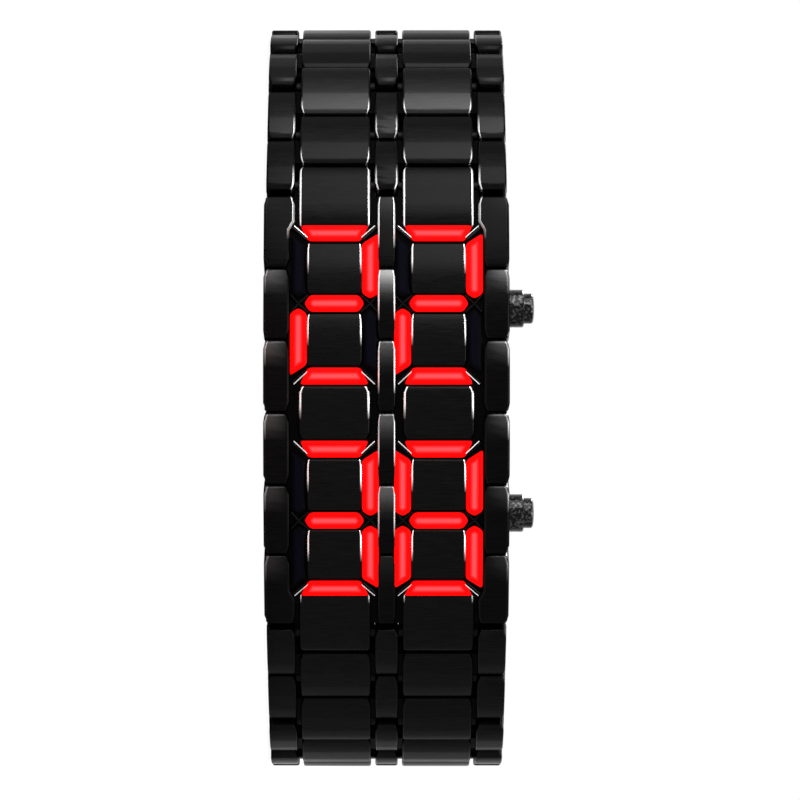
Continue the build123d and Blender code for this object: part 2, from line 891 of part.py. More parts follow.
def clasp_cover():
    """The curved outer cover with side skirts, ears for the 12 o'clock bar and two hinge lugs."""
    outer_mid = cover_outer + cover_crown
    plate_low = cover_outer - cover_plate
    outline = Curve() + [
        ThreePointArc((-cover_half, cover_outer), (0, outer_mid), (cover_half, cover_outer)),
        Line((cover_half, cover_outer), (cover_half, plate_low)),
        ThreePointArc(
            (cover_half, plate_low), (0, outer_mid - cover_plate), (-cover_half, plate_low)
        ),
        Line((-cover_half, plate_low), (-cover_half, cover_outer)),
    ]
    skirt_outline = Curve() + [
        ThreePointArc((-cover_half, cover_outer), (0, outer_mid), (cover_half, cover_outer)),
        Line((cover_half, cover_outer), (cover_half, clasp_y - cover_skirt_drop)),
        Line(
            (cover_half, clasp_y - cover_skirt_drop),
            (-cover_half, clasp_y - cover_skirt_drop),
        ),
        Line((-cover_half, clasp_y - cover_skirt_drop), (-cover_half, cover_outer)),
    ]
    plate = span(make_face(outline), 0, case_width)
    skirt_face = make_face(skirt_outline)
    pieces = [
        span(skirt_face, 0, cover_skirt),
        span(skirt_face, case_width - cover_skirt, case_width),
    ]
    for z_low, z_high in (left_outer, right_outer):
        pieces.append(eye(ear_radius, -clasp_x, clasp_y, z_low, z_high))
        pieces.append(
            slab(-clasp_x, -cover_half + cover_skirt, clasp_y - ear_radius / 2,
                 clasp_y + ear_radius, z_low, z_high)
        )
    for z_low, z_high in ((lug_low, lug_low + lug_width), (lug_high - lug_width, lug_high)):
        pieces.append(eye(clasp_knuckle_radius, cover_fold_x, fold_y, z_low, z_high))
        pieces.append(
            slab(cover_fold_x - clasp_knuckle_radius, cover_fold_x + clasp_knuckle_radius,
                 fold_y, cover_outer - cover_plate / 2, z_low, z_high)
        )
    bore_radius = clasp_pin_radius + pin_play
    bore = flatted_bore(bore_radius, cover_fold_x, fold_y, ear_low, case_width - ear_low)
    tips = [
        flatted_bore(tip_radius + pin_play, -clasp_x, clasp_y, z - ear_width, z)
        for z in (left_outer[1], right_outer[0] + ear_width)
    ]
    return plate.fuse(*pieces).cut(bore, *tips)


def upper_spring_bar():
    """The 12 o'clock spring bar with its sprung tips drawn in, clear of the cover's ears."""
    body_low, body_high = left_outer[1] + column_gap, right_outer[0] - column_gap
    body = flatted_pin(pin_radius, pin_flat, -clasp_x, clasp_y, body_low, body_high)
    tips = flatted_rod(
        tip_radius, -clasp_x, clasp_y, left_outer[1] + ear_tip_gap, right_outer[0] - ear_tip_gap
    )
    return body + tips


def lower_spring_bar():
    z_low, z_high = ear_low + tip_length, case_width - ear_low - tip_length
    body = flatted_pin(pin_radius, pin_flat, clasp_x, clasp_y, z_low, z_high)
    tips = flatted_rod(tip_radius, clasp_x, clasp_y, ear_low, case_width - ear_low)
    return body + tips


export_step(bottom_blade(), "parts/clasp_bottom_blade.step")
export_step(middle_blade(), "parts/clasp_middle_blade.step")
export_step(clasp_hinge_pins(), "parts/clasp_hinge_pins.step")
export_step(clasp_cover(), "parts/clasp_cover.step")
export_step(upper_spring_bar(), "parts/upper_spring_bar.step")
export_step(lower_spring_bar(), "parts/lower_spring_bar.step")
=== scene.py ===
# %% [markdown]
# A link bracelet watch with light-bar digits.
#
# The watch has no dial. Its case front is cut to look like the bracelet's links, and the digits
# are red light bars in the grooves between them. The CAD model gives every piece its place and its
# joint. This lesson dresses it: crowned steel links, resin bars that glow, turned push buttons.

# %% Load the frame
import json
import math

import bmesh
import bpy
from mathutils import Matrix, Vector


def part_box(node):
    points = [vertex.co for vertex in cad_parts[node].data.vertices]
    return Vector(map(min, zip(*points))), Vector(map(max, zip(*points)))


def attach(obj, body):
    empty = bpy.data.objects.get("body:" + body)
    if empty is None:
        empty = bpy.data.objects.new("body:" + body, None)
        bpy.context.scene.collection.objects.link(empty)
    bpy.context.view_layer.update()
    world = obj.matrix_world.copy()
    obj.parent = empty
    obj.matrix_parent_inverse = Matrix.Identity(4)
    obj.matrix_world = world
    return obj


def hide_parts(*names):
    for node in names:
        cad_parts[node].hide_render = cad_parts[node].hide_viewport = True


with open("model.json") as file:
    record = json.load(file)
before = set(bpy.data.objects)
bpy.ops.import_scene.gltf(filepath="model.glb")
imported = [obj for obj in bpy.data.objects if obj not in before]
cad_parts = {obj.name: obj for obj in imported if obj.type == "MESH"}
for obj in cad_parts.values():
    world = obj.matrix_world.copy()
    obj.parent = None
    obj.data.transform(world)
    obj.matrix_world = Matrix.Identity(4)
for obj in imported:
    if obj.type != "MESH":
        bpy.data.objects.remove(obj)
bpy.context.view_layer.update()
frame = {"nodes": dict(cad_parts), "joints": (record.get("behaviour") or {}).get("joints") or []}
nodes = frame["nodes"]
joint_places = {joint["name"]: joint["pos_m"] for joint in frame["joints"] if "pos_m" in joint}
mm = 0.001
print("CAD nodes:", len(nodes), "joints with a place:", len(joint_places))

# %% [markdown]
# The camera. The photograph is taken from straight in front, with a long lens and from slightly
# above the middle. In the frame the watch lies on its left flank, so the picture's right is +Z and
# its top is -X. The camera is turned by a matrix of three axes, which is clearer than three angles.

# %% Camera
camera_distance = 501.1
camera_elevation = 2.5
aim_x, aim_z = -0.1, 12.0
lens_angle = 9.35
frame_pixels = 800
watch_left_of_middle = 13.5


def add_camera():
    rise = math.radians(camera_elevation)
    ahead = Vector((math.sin(rise), math.cos(rise), 0))
    up = Vector((-math.cos(rise), math.sin(rise), 0))
    right = up.cross(-ahead)
    place = Vector((aim_x, 0, aim_z)) - ahead * camera_distance
    turn = Matrix((right, up, -ahead)).transposed().to_4x4()
    camera = bpy.data.objects.new("camera", bpy.data.cameras.new("camera"))
    camera.matrix_world = Matrix.Translation(place * mm) @ turn
    camera.data.angle = math.radians(lens_angle)
    camera.data.shift_x = watch_left_of_middle / frame_pixels
    camera.data.clip_start = 0.01
    bpy.context.scene.collection.objects.link(camera)
    bpy.context.scene.camera = camera
    return camera


camera = add_camera()
bpy.context.scene.view_settings.view_transform = "Standard"
print("camera at", [round(value / mm, 1) for value in camera.location])

# %% [markdown]
# Helpers for nodes. Shader code repeats the same three lines: add a node, set its values, link its
# inputs. One function does all of that, so the code below reads like the node graph it makes.

# %% Node helpers


def feed(tree, node, inputs):
    """Fills inputs of a node. A socket is linked, and anything else is set as a plain value."""
    for label, value in inputs.items():
        if isinstance(value, bpy.types.NodeSocket):
            tree.links.new(value, node.inputs[label])
        else:
            node.inputs[label].default_value = value


def add_node(tree, kind, inputs=None, **settings):
    """Adds a shader node with its settings and its inputs."""
    node = tree.nodes.new("ShaderNode" + kind)
    for setting, value in settings.items():
        setattr(node, setting, value)
    feed(tree, node, inputs or {})
    return node


def maths(tree, operation, *values, **settings):
    """One step of arithmetic on sockets or plain numbers."""
    inputs = dict(enumerate(values))
    return add_node(tree, "Math", inputs, operation=operation, **settings).outputs[0]


def map_range(tree, value, **ends):
    """A value stretched between new ends, such as from_min or to_max."""
    inputs = {label.replace("_", " ").title(): end for label, end in ends.items()}
    return add_node(tree, "MapRange", {"Value": value, **inputs}).outputs["Result"]


def mix_colours(tree, factor, low, high):
    inputs = {"Factor": factor, "A": low, "B": high}
    return add_node(tree, "Mix", inputs, data_type="RGBA").outputs["Result"]


def attribute_mask(tree, name):
    """A number that the mesh carries at its corners, such as how far it is rubbed."""
    return add_node(tree, "Attribute", attribute_name=name).outputs["Fac"]


print("node helpers ready")

# %% [markdown]
# Shader groups. Grain and speckle belong to several finishes, so each is a node group that is built
# once. A group puts out only a value or a mask; the Principled shader stays in the material.

# %% Shader groups


def start_group(name, inputs, outputs):
    """An empty group with number inputs, given as name: default, and number outputs."""
    group = bpy.data.node_groups.new(name, "ShaderNodeTree")
    for label, default in inputs.items():
        socket = group.interface.new_socket(label, in_out="INPUT", socket_type="NodeSocketFloat")
        socket.default_value = default
    for label in outputs:
        group.interface.new_socket(label, in_out="OUTPUT", socket_type="NodeSocketFloat")
    source = group.nodes.new("NodeGroupInput").outputs
    return group, source, group.nodes.new("NodeGroupOutput")


def noise_value(group, place, scale, detail):
    inputs = {"Vector": place, "Scale": scale, "Detail": detail}
    return add_node(group, "TexNoise", inputs).outputs["Fac"]


def stretched_noise_group():
    """Fine streaks across the bracelet, as a brushed plate has, from 0 to 1."""
    group, source, result = start_group(
        "brushed_grain", {"Streaks Per Metre": 9000.0, "Stretch": 0.06}, ["Grain"]
    )
    place = add_node(group, "TexCoord").outputs["Object"]
    along = add_node(group, "CombineXYZ", {"X": 1.0, "Y": 1.0, "Z": source["Stretch"]})
    inputs = {0: place, 1: along.outputs["Vector"]}
    squeezed = add_node(group, "VectorMath", inputs, operation="MULTIPLY").outputs["Vector"]
    noise = noise_value(group, squeezed, source["Streaks Per Metre"], 3.0)
    feed(group, result, {"Grain": map_range(group, noise, from_min=0.25, from_max=0.75)})
    return group


speck_slope = 8.0


def speckle_group():
    """Small bright specks, such as polish through a dark finish, as a mask from 0 to 1."""
    group, source, result = start_group(
        "speckle", {"Specks Per Metre": 4000.0, "Share": 0.4}, ["Mask"]
    )
    place = add_node(group, "TexCoord").outputs["Object"]
    noise = noise_value(group, place, source["Specks Per Metre"], 2.0)
    level = maths(group, "SUBTRACT", 1.0, source["Share"])
    above = maths(group, "SUBTRACT", noise, level)
    feed(group, result, {"Mask": maths(group, "MULTIPLY", above, speck_slope, use_clamp=True)})
    return group


grain_group = stretched_noise_group()
speckles_group = speckle_group()
print("groups:", [group.name for group in bpy.data.node_groups])

# %% [markdown]
# A helper for materials. Every finish here is a Principled shader whose colour runs between two
# tones, whose roughness runs between two values, and whose surface has a fine bump. What changes
# from one to the next is the pattern that drives them, so the pattern is a group and two numbers.

# %% Material helper


def linear(red, green, blue):
    """A picture colour from 0 to 255 as the light value that a shader takes."""
    return tuple(((value / 255 + 0.055) / 1.055) ** 2.4 for value in (red, green, blue)) + (1.0,)


def greys(*levels):
    """Neutral tones, given as levels of a picture from 0 to 255."""
    return [linear(level, level, level) for level in levels]


def new_material(name):
    material = bpy.data.materials.new(name)
    material.use_nodes = True
    return material, material.node_tree, material.node_tree.nodes["Principled BSDF"]


def add_relief(tree, shader, height, depth):
    """A fine bump that follows a pattern. Its depth is in millimetres."""
    relief = add_node(tree, "Bump", {"Height": height, "Distance": depth * mm})
    feed(tree, shader, {"Normal": relief.outputs["Normal"]})


def patterned(name, pattern, settings, tones, roughness, bump, rubbed=None, **plain):
    """A Principled finish whose colour, roughness and bump follow one pattern group. The optional
    pair is an attribute's name and a lighter colour painted where the attribute is 1: a painted
    highlight or painted sheen."""
    material, tree, shader = new_material(name)
    mask = add_node(tree, "Group", settings, node_tree=pattern).outputs[0]
    colour = mix_colours(tree, mask, *tones)
    # Where the attribute is 1, the colour is painted lighter: a painted highlight or painted sheen.
    if rubbed:
        colour = mix_colours(tree, attribute_mask(tree, rubbed[0]), colour, rubbed[1])
    rough = map_range(tree, mask, to_min=roughness[0], to_max=roughness[1])
    feed(tree, shader, {"Base Color": colour, "Roughness": rough})
    feed(tree, shader, {label.replace("_", " "): value for label, value in plain.items()})
    add_relief(tree, shader, mask, bump)
    return material


def brushed(name, streaks, tones, roughness, bump, **more):
    """A metal with fine streaks, so many to the metre."""
    settings = {"Streaks Per Metre": streaks}
    return patterned(name, grain_group, settings, tones, roughness, bump, Metallic=1.0, **more)


def speckled(name, tones, roughness, bump, specks=4000.0, share=0.5, **more):
    """A finish with fine specks, so many to the metre."""
    settings = {"Specks Per Metre": specks, "Share": share}
    return patterned(name, speckles_group, settings, tones, roughness, bump, **more)


print("material helpers ready")

# %% [markdown]
# The metals. The case and the bracelet are black plated steel: a mirror of very low brightness, so
# most of what shows is the reflection of the lamps. The plating is a metallic shader with an almost
# black base, and its reflections are dimmed at grazing angles. Painted light is laid on it: its
# faces carry a painted sheen, a lighter grey mixed in where an attribute says so, and a second
# finish on the bevels carries painted highlights, thin near-white lines, in the same way. The flank
# and middle blocks of the case get a darker copy of the plating, which is painted shade. The pins
# and buttons are darkened steel, less black, and the buttons are finely speckled by their turning.
# The back cover is left in plain brushed steel.

# %% Metals
dimmed = {"Specular_Tint": (0.6, 0.6, 0.6, 1.0)}
# The greys of the painted light: 170 for the painted sheen on faces, 238 for the painted highlights
# on bevels.
painted_sheen_grey, painted_highlight_grey = greys(170, 238)
painted_sheen_look = {"rubbed": ("painted_sheen", painted_sheen_grey), **dimmed}
plating = brushed("black_plating", 9000.0, greys(13, 20), (0.24, 0.36), 0.003, **painted_sheen_look)
# A darker copy of the plating: painted shade for the flank and middle blocks of the case.
shaded_flank_plating = brushed("shaded_flank_plating", 9000.0, greys(8, 14), (0.26, 0.38), 0.003, **painted_sheen_look)
# The bevels' finish, painted near-white where its painted highlight attribute is 1.
highlight_edge_metal = brushed(
    "highlight_edge_metal", 7000.0, greys(13, 22), (0.24, 0.34), 0.003, rubbed=("painted_edge_highlight", painted_highlight_grey), **dimmed
)
groove_black = brushed("groove_black", 5000.0, greys(4, 9), (0.5, 0.65), 0.006, **dimmed)
pin_steel = brushed("pin_steel", 8000.0, greys(16, 28), (0.3, 0.45), 0.004, **dimmed)
back_steel = brushed("back_steel", 6000.0, greys(96, 132), (0.28, 0.42), 0.004)
contact_brass = brushed(
    "contact_brass", 6000.0, (linear(176, 140, 74), linear(206, 170, 98)), (0.25, 0.4), 0.003
)
button_steel = speckled(
    "button_steel", greys(24, 66), (0.14, 0.3), 0.004, specks=3500.0, Metallic=1.0
)
cell_steel = speckled(
    "cell_steel", greys(165, 200), (0.22, 0.36), 0.003, specks=2500.0, Metallic=1.0
)
print("metals made")

# %% [markdown]
# The other finishes. The lit bars are clear red resin over light sources, so their middle is paler
# than their edges. An attribute called "middle", 0 at a bar's rim and 1 along its centre, carries
# that, and one called "glow" fades the light at the rim. The unlit bars are the same resin in the
# dark, with a faint blue facet. Carrier, board, chips and seals lie inside the case, and have plain
# mouldings with a fine texture.

# %% Resins and inner finishes
resin_ripple, resin_relief, bar_glow = 0.03, 0.01, 10.0


def resin(name, rim, middle):
    """A resin whose colour runs from its rim to its middle. Its colour is returned with it."""
    material, tree, shader = new_material(name)
    grain = add_node(tree, "Group", node_tree=grain_group).outputs["Grain"]
    core = maths(tree, "MULTIPLY_ADD", grain, resin_ripple, attribute_mask(tree, "middle"))
    add_relief(tree, shader, grain, resin_relief)
    return material, tree, shader, mix_colours(tree, core, rim, middle)


def glowing_resin():
    material, tree, shader, colour = resin(
        "lit_resin", (1.0, 0.0, 0.0, 1.0), (1.0, 0.009, 0.0105, 1.0)
    )
    light = mix_colours(tree, attribute_mask(tree, "glow"), (0.0, 0.0, 0.0, 1.0), colour)
    feed(tree, shader, {
        "Base Color": linear(40, 0, 0), "Emission Color": light, "Emission Strength": bar_glow,
        "Roughness": 0.5, "Specular IOR Level": 0.02,
    })
    return material


def unlit_resin():
    material, tree, shader, colour = resin("dark_resin", linear(1, 1, 3), linear(6, 6, 14))
    feed(tree, shader, {"Base Color": colour, "Roughness": 0.4, "Specular IOR Level": 0.01})
    return material


lit_resin, dark_resin = glowing_resin(), unlit_resin()
carrier_plastic = speckled("carrier_plastic", greys(38, 52), (0.5, 0.65), 0.01)
board_green = speckled(
    "board_green", (linear(18, 66, 40), linear(28, 88, 54)), (0.3, 0.45), 0.006
)
chip_white = speckled("chip_white", greys(214, 232), (0.3, 0.4), 0.004, share=0.4)
seal_rubber = speckled("seal_rubber", greys(22, 34), (0.6, 0.75), 0.01)
print("materials:", len(bpy.data.materials))

# %% [markdown]
# Tools for the pieces. A piece is modelled in millimetres in its own upright place, from one
# outline that is drawn out across the bracelet and then bevelled. It is then laid on the case's
# curve or on its link by a matrix. One function finishes them all: it scales to metres, shades the
# faces, names the body that the piece rides on and gives it its materials.

# %% Tools for pieces
smooth_angle = 32.0
# Places in a piece's list of materials. Its plain faces have the first one.
edge_slot, groove_slot = 1, 2


def as_mesh(name, bm):
    """Turns the working mesh into a stored one and frees it."""
    mesh = bpy.data.meshes.new(name)
    bm.to_mesh(mesh)
    bm.free()
    return mesh


def add_object(name, data):
    item = bpy.data.objects.new(name, data)
    bpy.context.scene.collection.objects.link(item)
    return item


def push_out(bm, faces, reach):
    """Extrudes faces along a vector, into a closed plate."""
    grown = bmesh.ops.extrude_face_region(bm, geom=faces)["geom"]
    moved = [item for item in grown if isinstance(item, bmesh.types.BMVert)]
    bmesh.ops.translate(bm, verts=moved, vec=reach)
    bmesh.ops.recalc_face_normals(bm, faces=bm.faces)


def drawn_out(outline, z_low, z_high):
    """A side view, given as points along X and Y, drawn out across the bracelet."""
    bm = bmesh.new()
    face = bm.faces.new([bm.verts.new((x, y, z_low)) for x, y in outline])
    push_out(bm, [face], (0, 0, z_high - z_low))
    return bm


def give_material(faces, slot):
    """Gives faces the material at this place in their piece's list."""
    for face in faces:
        face.material_index = slot


def bevel(bm, edges, width, segments, slot=None):
    """Rounds these edges, and gives the new faces a material of their own if asked."""
    made = bmesh.ops.bevel(
        bm, geom=list(edges), affect="EDGES", offset=width, segments=segments,
        profile=0.5, material=-1, clamp_overlap=True,
    )
    if slot is not None:
        give_material(made["faces"], slot)


def middle_of(edge):
    return (edge.verts[0].co + edge.verts[1].co) / 2


def runs_across(edge):
    """True if the edge runs across the bracelet."""
    run = edge.verts[1].co - edge.verts[0].co
    return abs(run.z) > 0.9 * run.length


def gather(pieces, matrix=None):
    """Joins these meshes into one, laid in place by the matrix."""
    whole = bmesh.new()
    for bm in pieces:
        held = as_mesh("held", bm)
        whole.from_mesh(held)
        bpy.data.meshes.remove(held)
    if matrix:
        lay(whole, matrix)
    return whole


def lay(bm, matrix):
    """Lays a mesh in place. A mirror turns its faces, so they are turned back."""
    bmesh.ops.transform(bm, matrix=matrix, verts=bm.verts)
    if matrix.determinant() < 0:
        bmesh.ops.reverse_faces(bm, faces=bm.faces)
    return bm


def finish_piece(name, bm, body, materials, replaces=()):
    """Makes the mesh an object in metres that rides on its body."""
    bmesh.ops.scale(bm, vec=(mm, mm, mm), verts=bm.verts)
    mesh = as_mesh(name, bm)
    mesh.shade_smooth()
    mesh.set_sharp_from_angle(angle=math.radians(smooth_angle))
    piece = add_object(name, mesh)
    for material in materials:
        mesh.materials.append(material)
    weigh = piece.modifiers.new("weighted_normals", "WEIGHTED_NORMAL")
    weigh.keep_sharp = True
    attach(piece, body)
    if replaces:
        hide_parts(*replaces)


print("piece tools ready")

# %% [markdown]
# Painted light. The bright lines on the rims and the lighter ends of the faces are painted
# highlights and painted sheen. A mesh can carry a number at each of its points, so the painted
# light is written there as attributes, and the finishes above read them. A piece is cut into slices
# first, to have points in between.

# %% Painted light


def slice_lengthwise(bm, x_low, x_high, count):
    """Cuts a piece into even slices along its length, so that it can be arched and shaded."""
    for number in range(1, count):
        place = x_low + (x_high - x_low) * number / count
        whole = bm.verts[:] + bm.edges[:] + bm.faces[:]
        bmesh.ops.bisect_plane(
            bm, geom=whole, plane_co=(place, 0, 0), plane_no=(1, 0, 0), dist=0.0001
        )


def paint_light_into(bm, attribute, x_range, z_range, amount):
    """Writes painted light into a piece, as an attribute for a painted highlight or painted sheen.
    amount takes a share of the length, 0 at the low end, and a side, -1 at the low side and 1 at
    the high side."""
    layer = bm.verts.layers.float.new(attribute)
    for vert in bm.verts:
        share = (vert.co.x - x_range[0]) / (x_range[1] - x_range[0])
        side = 2 * (vert.co.z - z_range[0]) / (z_range[1] - z_range[0]) - 1
        vert[layer] = min(1.0, max(0.0, amount(share, side)))


def fall(share, start, stop):
    """1 up to the start and 0 from the stop on, with a straight run between them."""
    return min(1.0, max(0.0, (stop - share) / (stop - start)))


def evenly(amount):
    """The same painted light everywhere."""
    return lambda share, side: amount


def fading(amount, start, stop):
    """Painted light of this amount up to the start, and less and less up to the stop."""
    return lambda share, side: amount * fall(share, start, stop)


no_painted_light = evenly(0.0)
print("wear tools ready")

# %% [markdown]
# The places. The case's front is an arc about one axis, and the joints give the pins of the
# bracelet. The axis is worked out from the case's box, so the pieces follow the CAD model. A seat
# is a matrix that stands a piece on the arc, with its X along the case and its Y inwards.

# %% Places on the case
front_radius, floor_radius, back_radius = 48.0, 47.45, 38.6
row_pitch, end_row_extra = 7.15, 0.5
case_low, case_high = (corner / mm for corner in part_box("case_shell"))
case_width = case_high.z - case_low.z
centre_z = case_width / 2
axis_y = case_low.y + front_radius
side_block_width = 2.55
digit_places = (6.925, case_width - 6.925)
side_turn = (3 * row_pitch + end_row_extra) / front_radius


def seat(radius, along):
    """A place on the arc, at a distance along the front from the middle of the case."""
    turn = along / front_radius
    place = Vector((radius * math.sin(turn), axis_y - radius * math.cos(turn), 0))
    return Matrix.Translation(place) @ Matrix.Rotation(turn, 4, "Z")


print("case axis at y", round(axis_y, 3), "width", round(case_width, 3))

# %% [markdown]
# The blocks of the case front. Each is a crowned cushion of steel with rounded corners and a thin
# bevel that carries a painted highlight. It could be a subdivided cube, but a drawn-out outline
# keeps the crown and the size exact: the outline gives the crown's two slopes, a wide bevel softens
# them, and a last small bevel goes round both sides. The ends are then drawn in a little, which
# makes the block barrel-shaped.

# %% One crowned block
end_round, slice_count, widens_from = 0.28, 8, 0.4


def crowned_block(length, z_low, z_high, depth, crown=0.28, rim=0.26, barrel=0.3,
                  painted_edge_highlight=no_painted_light, painted_sheen=no_painted_light, wide_end=None):
    """One arched block, its top at y 0 and its middle at x 0. Two arguments give its painted light:
    the painted highlight on its rims and the painted sheen on its face. wide_end is an end, -1 or
    1, and how far it widens."""
    half = length / 2
    outline = [(-half, 0), (half, 0), (half, depth), (-half, depth)]
    bm = drawn_out(outline, z_low, z_high)
    ends = [edge for edge in bm.edges if runs_across(edge) and middle_of(edge).y < depth / 2]
    bevel(bm, ends, end_round, 3)
    slice_lengthwise(bm, -half, half, slice_count)
    for vert in bm.verts:
        if vert.co.y < depth / 2:
            vert.co.y += crown * (vert.co.x / half) ** 2
    centre = (z_low + z_high) / 2
    draw_in_ends(bm, half, centre, barrel)
    if wide_end:
        end, swell = wide_end
        for vert in bm.verts:
            if vert.co.x * end > widens_from and (vert.co.z > centre) == (swell > 0):
                vert.co.z += swell
        bm.normal_update()
    sides = [
        edge for edge in bm.edges
        if not runs_across(edge) and is_side_rim(edge) and middle_of(edge).y < depth
    ]
    bevel(bm, sides, rim, 3, edge_slot)
    paint_light_into(bm, "painted_edge_highlight", (-half, half), (z_low, z_high), painted_edge_highlight)
    paint_light_into(bm, "painted_sheen", (-half, half), (z_low, z_high), painted_sheen)
    return bm


def is_side_rim(edge):
    """True for an edge between a side face and a face that looks along the bracelet or outwards."""
    if len(edge.link_faces) != 2:
        return False
    sideways = [abs(face.normal.z) > 0.7 for face in edge.link_faces]
    return sideways[0] != sideways[1]


end_reach = 0.8


def draw_in_ends(bm, half, centre, low_amount, high_amount=None):
    """Narrows a block towards both ends, along a smooth curve."""
    amounts = {-1.0: low_amount, 1.0: low_amount if high_amount is None else high_amount}
    for vert in bm.verts:
        beyond = (abs(vert.co.x) - (half - end_reach)) / end_reach
        if beyond > 0:
            side = math.copysign(1, vert.co.z - centre)
            vert.co.z -= side * amounts[math.copysign(1, vert.co.x)] * beyond * beyond
    bm.normal_update()


print("block tool ready, slices in a block:", slice_count)

# %% [markdown]
# The holes for the push buttons. Each goes through the right flank: a wide one for the tube and a
# narrow one for the stem. They are turned bars that a boolean takes out of the steel, because it
# leaves the mesh closed where a hole crosses a curved face.

# %% Button holes
button_box = {side: [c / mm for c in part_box(f"{side}_button")] for side in ("upper", "lower")}
tube_radius, tube_floor, stem_bore = 1.85, case_width - 0.6, 0.7


def round_bar(radius, x, y, z_low, z_high, rim=0.08, sides=24):
    """A turned bar across the bracelet with bevelled rims."""
    bm = bmesh.new()
    bmesh.ops.create_circle(bm, cap_ends=True, radius=radius, segments=sides)
    bmesh.ops.translate(bm, verts=bm.verts, vec=(x, y, z_low))
    push_out(bm, bm.faces[:], (0, 0, z_high - z_low))
    if rim:
        rims = [edge for edge in bm.edges if not runs_across(edge)]
        bevel(bm, rims, rim, 2)
    return bm


def cut_out(bm, cutters):
    """Cuts closed shapes out of a mesh with booleans, which leave it closed."""
    held = [as_mesh("held", shape) for shape in [bm] + cutters]
    objects = [add_object("held", mesh) for mesh in held]
    for item in objects[1:]:
        cut = objects[0].modifiers.new("cut", "BOOLEAN")
        cut.operation, cut.solver, cut.object = "DIFFERENCE", "EXACT", item
    graph = bpy.context.evaluated_depsgraph_get()
    result = bmesh.new()
    result.from_object(objects[0], graph)
    for item, mesh in zip(objects, held):
        bpy.data.objects.remove(item)
        bpy.data.meshes.remove(mesh)
    return result


def button_axis(side):
    low, high = button_box[side]
    return (low.x + high.x) / 2, (low.y + high.y) / 2


def button_bores(side):
    """The holes for a button's tube and stem, through the right flank."""
    return [
        round_bar(tube_radius, *button_axis(side), tube_floor, case_width + 1, rim=0, sides=48),
        round_bar(stem_bore, *button_axis(side), case_width / 2, case_width + 1, rim=0, sides=24),
    ]


for side in button_box:
    print(side, "button axis at", [round(value, 2) for value in button_axis(side)])

# %% [markdown]
# The case front. Six blocks stand in a row down each flank, six narrow ones down the middle, and
# between the digits' bars lie the inner blocks and one wide piece in the middle of the case. All of
# them stand on the arc, so one loop over the rows makes each group.

# %% Blocks of the case front
block_gap = 0.16
rows = (-2.5, -1.5, -0.5, 0.5, 1.5, 2.5)
side_depth, low_depth = 5.2, 1.0
middle_half = 0.875
left_side = (0, side_block_width)
right_side = (case_width - side_block_width, case_width)
middle_span = (centre_z - middle_half, centre_z + middle_half)


def row_block(row, z_low, z_high, depth, **form):
    """A block in one of the six rows. The two end rows are a little longer."""
    extra = end_row_extra if abs(row) > 2 else 0
    bm = crowned_block(row_pitch + extra - block_gap, z_low, z_high, depth, **form)
    return lay(bm, seat(front_radius, row * row_pitch + math.copysign(extra / 2, row)))


# How bright the painted highlights and painted sheen of the blocks are, row by row.
side_glint = {-2.5: 0.03, -1.5: 0.55, -0.5: 0.8, 0.5: 0.8, 1.5: 0.5, 2.5: 0.3}
middle_glint = {-2.5: 0.02, -1.5: 0.3, -0.5: 0.12, 0.5: 0.17, 1.5: 0.2, 2.5: 0.02}
face_glint, corner_glint, outer_rim_glint, inner_rim_glint = 0.02, 0.3, 0.5, 0.4
inner_swell = 0.5


def side_form(row, outer):
    """The painted sheen and painted highlights of a side block. outer is -1 for the left flank and
    1 for the right one.
    """
    glint = side_glint[row]

    # The painted sheen: lighter near the upper end, brightest at the outer corner.
    def painted_sheen(share, side):
        outward = 0.5 + 0.5 * side * outer
        face = face_glint * fall(share, 0.05, 0.4)
        return glint * (face + corner_glint * outward ** 4 * fall(share, 0.0, 0.3))

    # The painted highlight on the rims.
    def painted_edge_highlight(share, side):
        if side * outer > 0:
            return outer_rim_glint * glint * fall(share, 0.05, 0.35)
        return inner_rim_glint * fall(share, 0.3, 0.6) if row < -2 else 0.0

    wide_end = (math.copysign(1, row), -outer * inner_swell) if abs(row) > 2 else None
    return {"painted_sheen": painted_sheen, "painted_edge_highlight": painted_edge_highlight, "wide_end": wide_end}


# The painted sheen and painted rim highlights of a middle block.
def middle_form(row):
    glint = middle_glint[row]
    line = 0.75 if row < 0 else 0.5 if row < 2 else 0.0
    return {
        "painted_sheen": lambda share, side: glint * fall(share, 0.1, 0.6) ** 3,
        "painted_edge_highlight": fading(line, 0.5, 0.75),
        "barrel": 0.15, "rim": 0.18,
    }


# The painted highlight on the inner blocks' rims, along their upper half.
inner_rim_highlight = fading(1.2, 0.3, 0.55)
side_blocks, middle_blocks, digit_blocks = [], [], []
for row in rows:
    side_blocks.append(row_block(row, *left_side, side_depth, **side_form(row, -1)))
    right = row_block(row, *right_side, side_depth, **side_form(row, 1))
    side = {-1.5: "upper", 1.5: "lower"}.get(row)
    side_blocks.append(cut_out(right, button_bores(side)) if side else right)
    middle_blocks.append(row_block(row, *middle_span, low_depth, **middle_form(row)))
inner_half, inner_length = 2.7, 5.25
mid_half, mid_length = 3.475, 5.3
for z in digit_places:
    for row in (-2, -1, 1, 2):
        bm = crowned_block(inner_length, z - inner_half, z + inner_half, low_depth, barrel=0.1,
                           rim=0.2, painted_edge_highlight=inner_rim_highlight)
        digit_blocks.append(lay(bm, seat(front_radius, row * row_pitch)))
    bm = crowned_block(mid_length, z - mid_half, z + mid_half, low_depth, painted_edge_highlight=inner_rim_highlight)
    digit_blocks.append(lay(bm, seat(front_radius, 0)))
steel_set = [plating, highlight_edge_metal, groove_black]
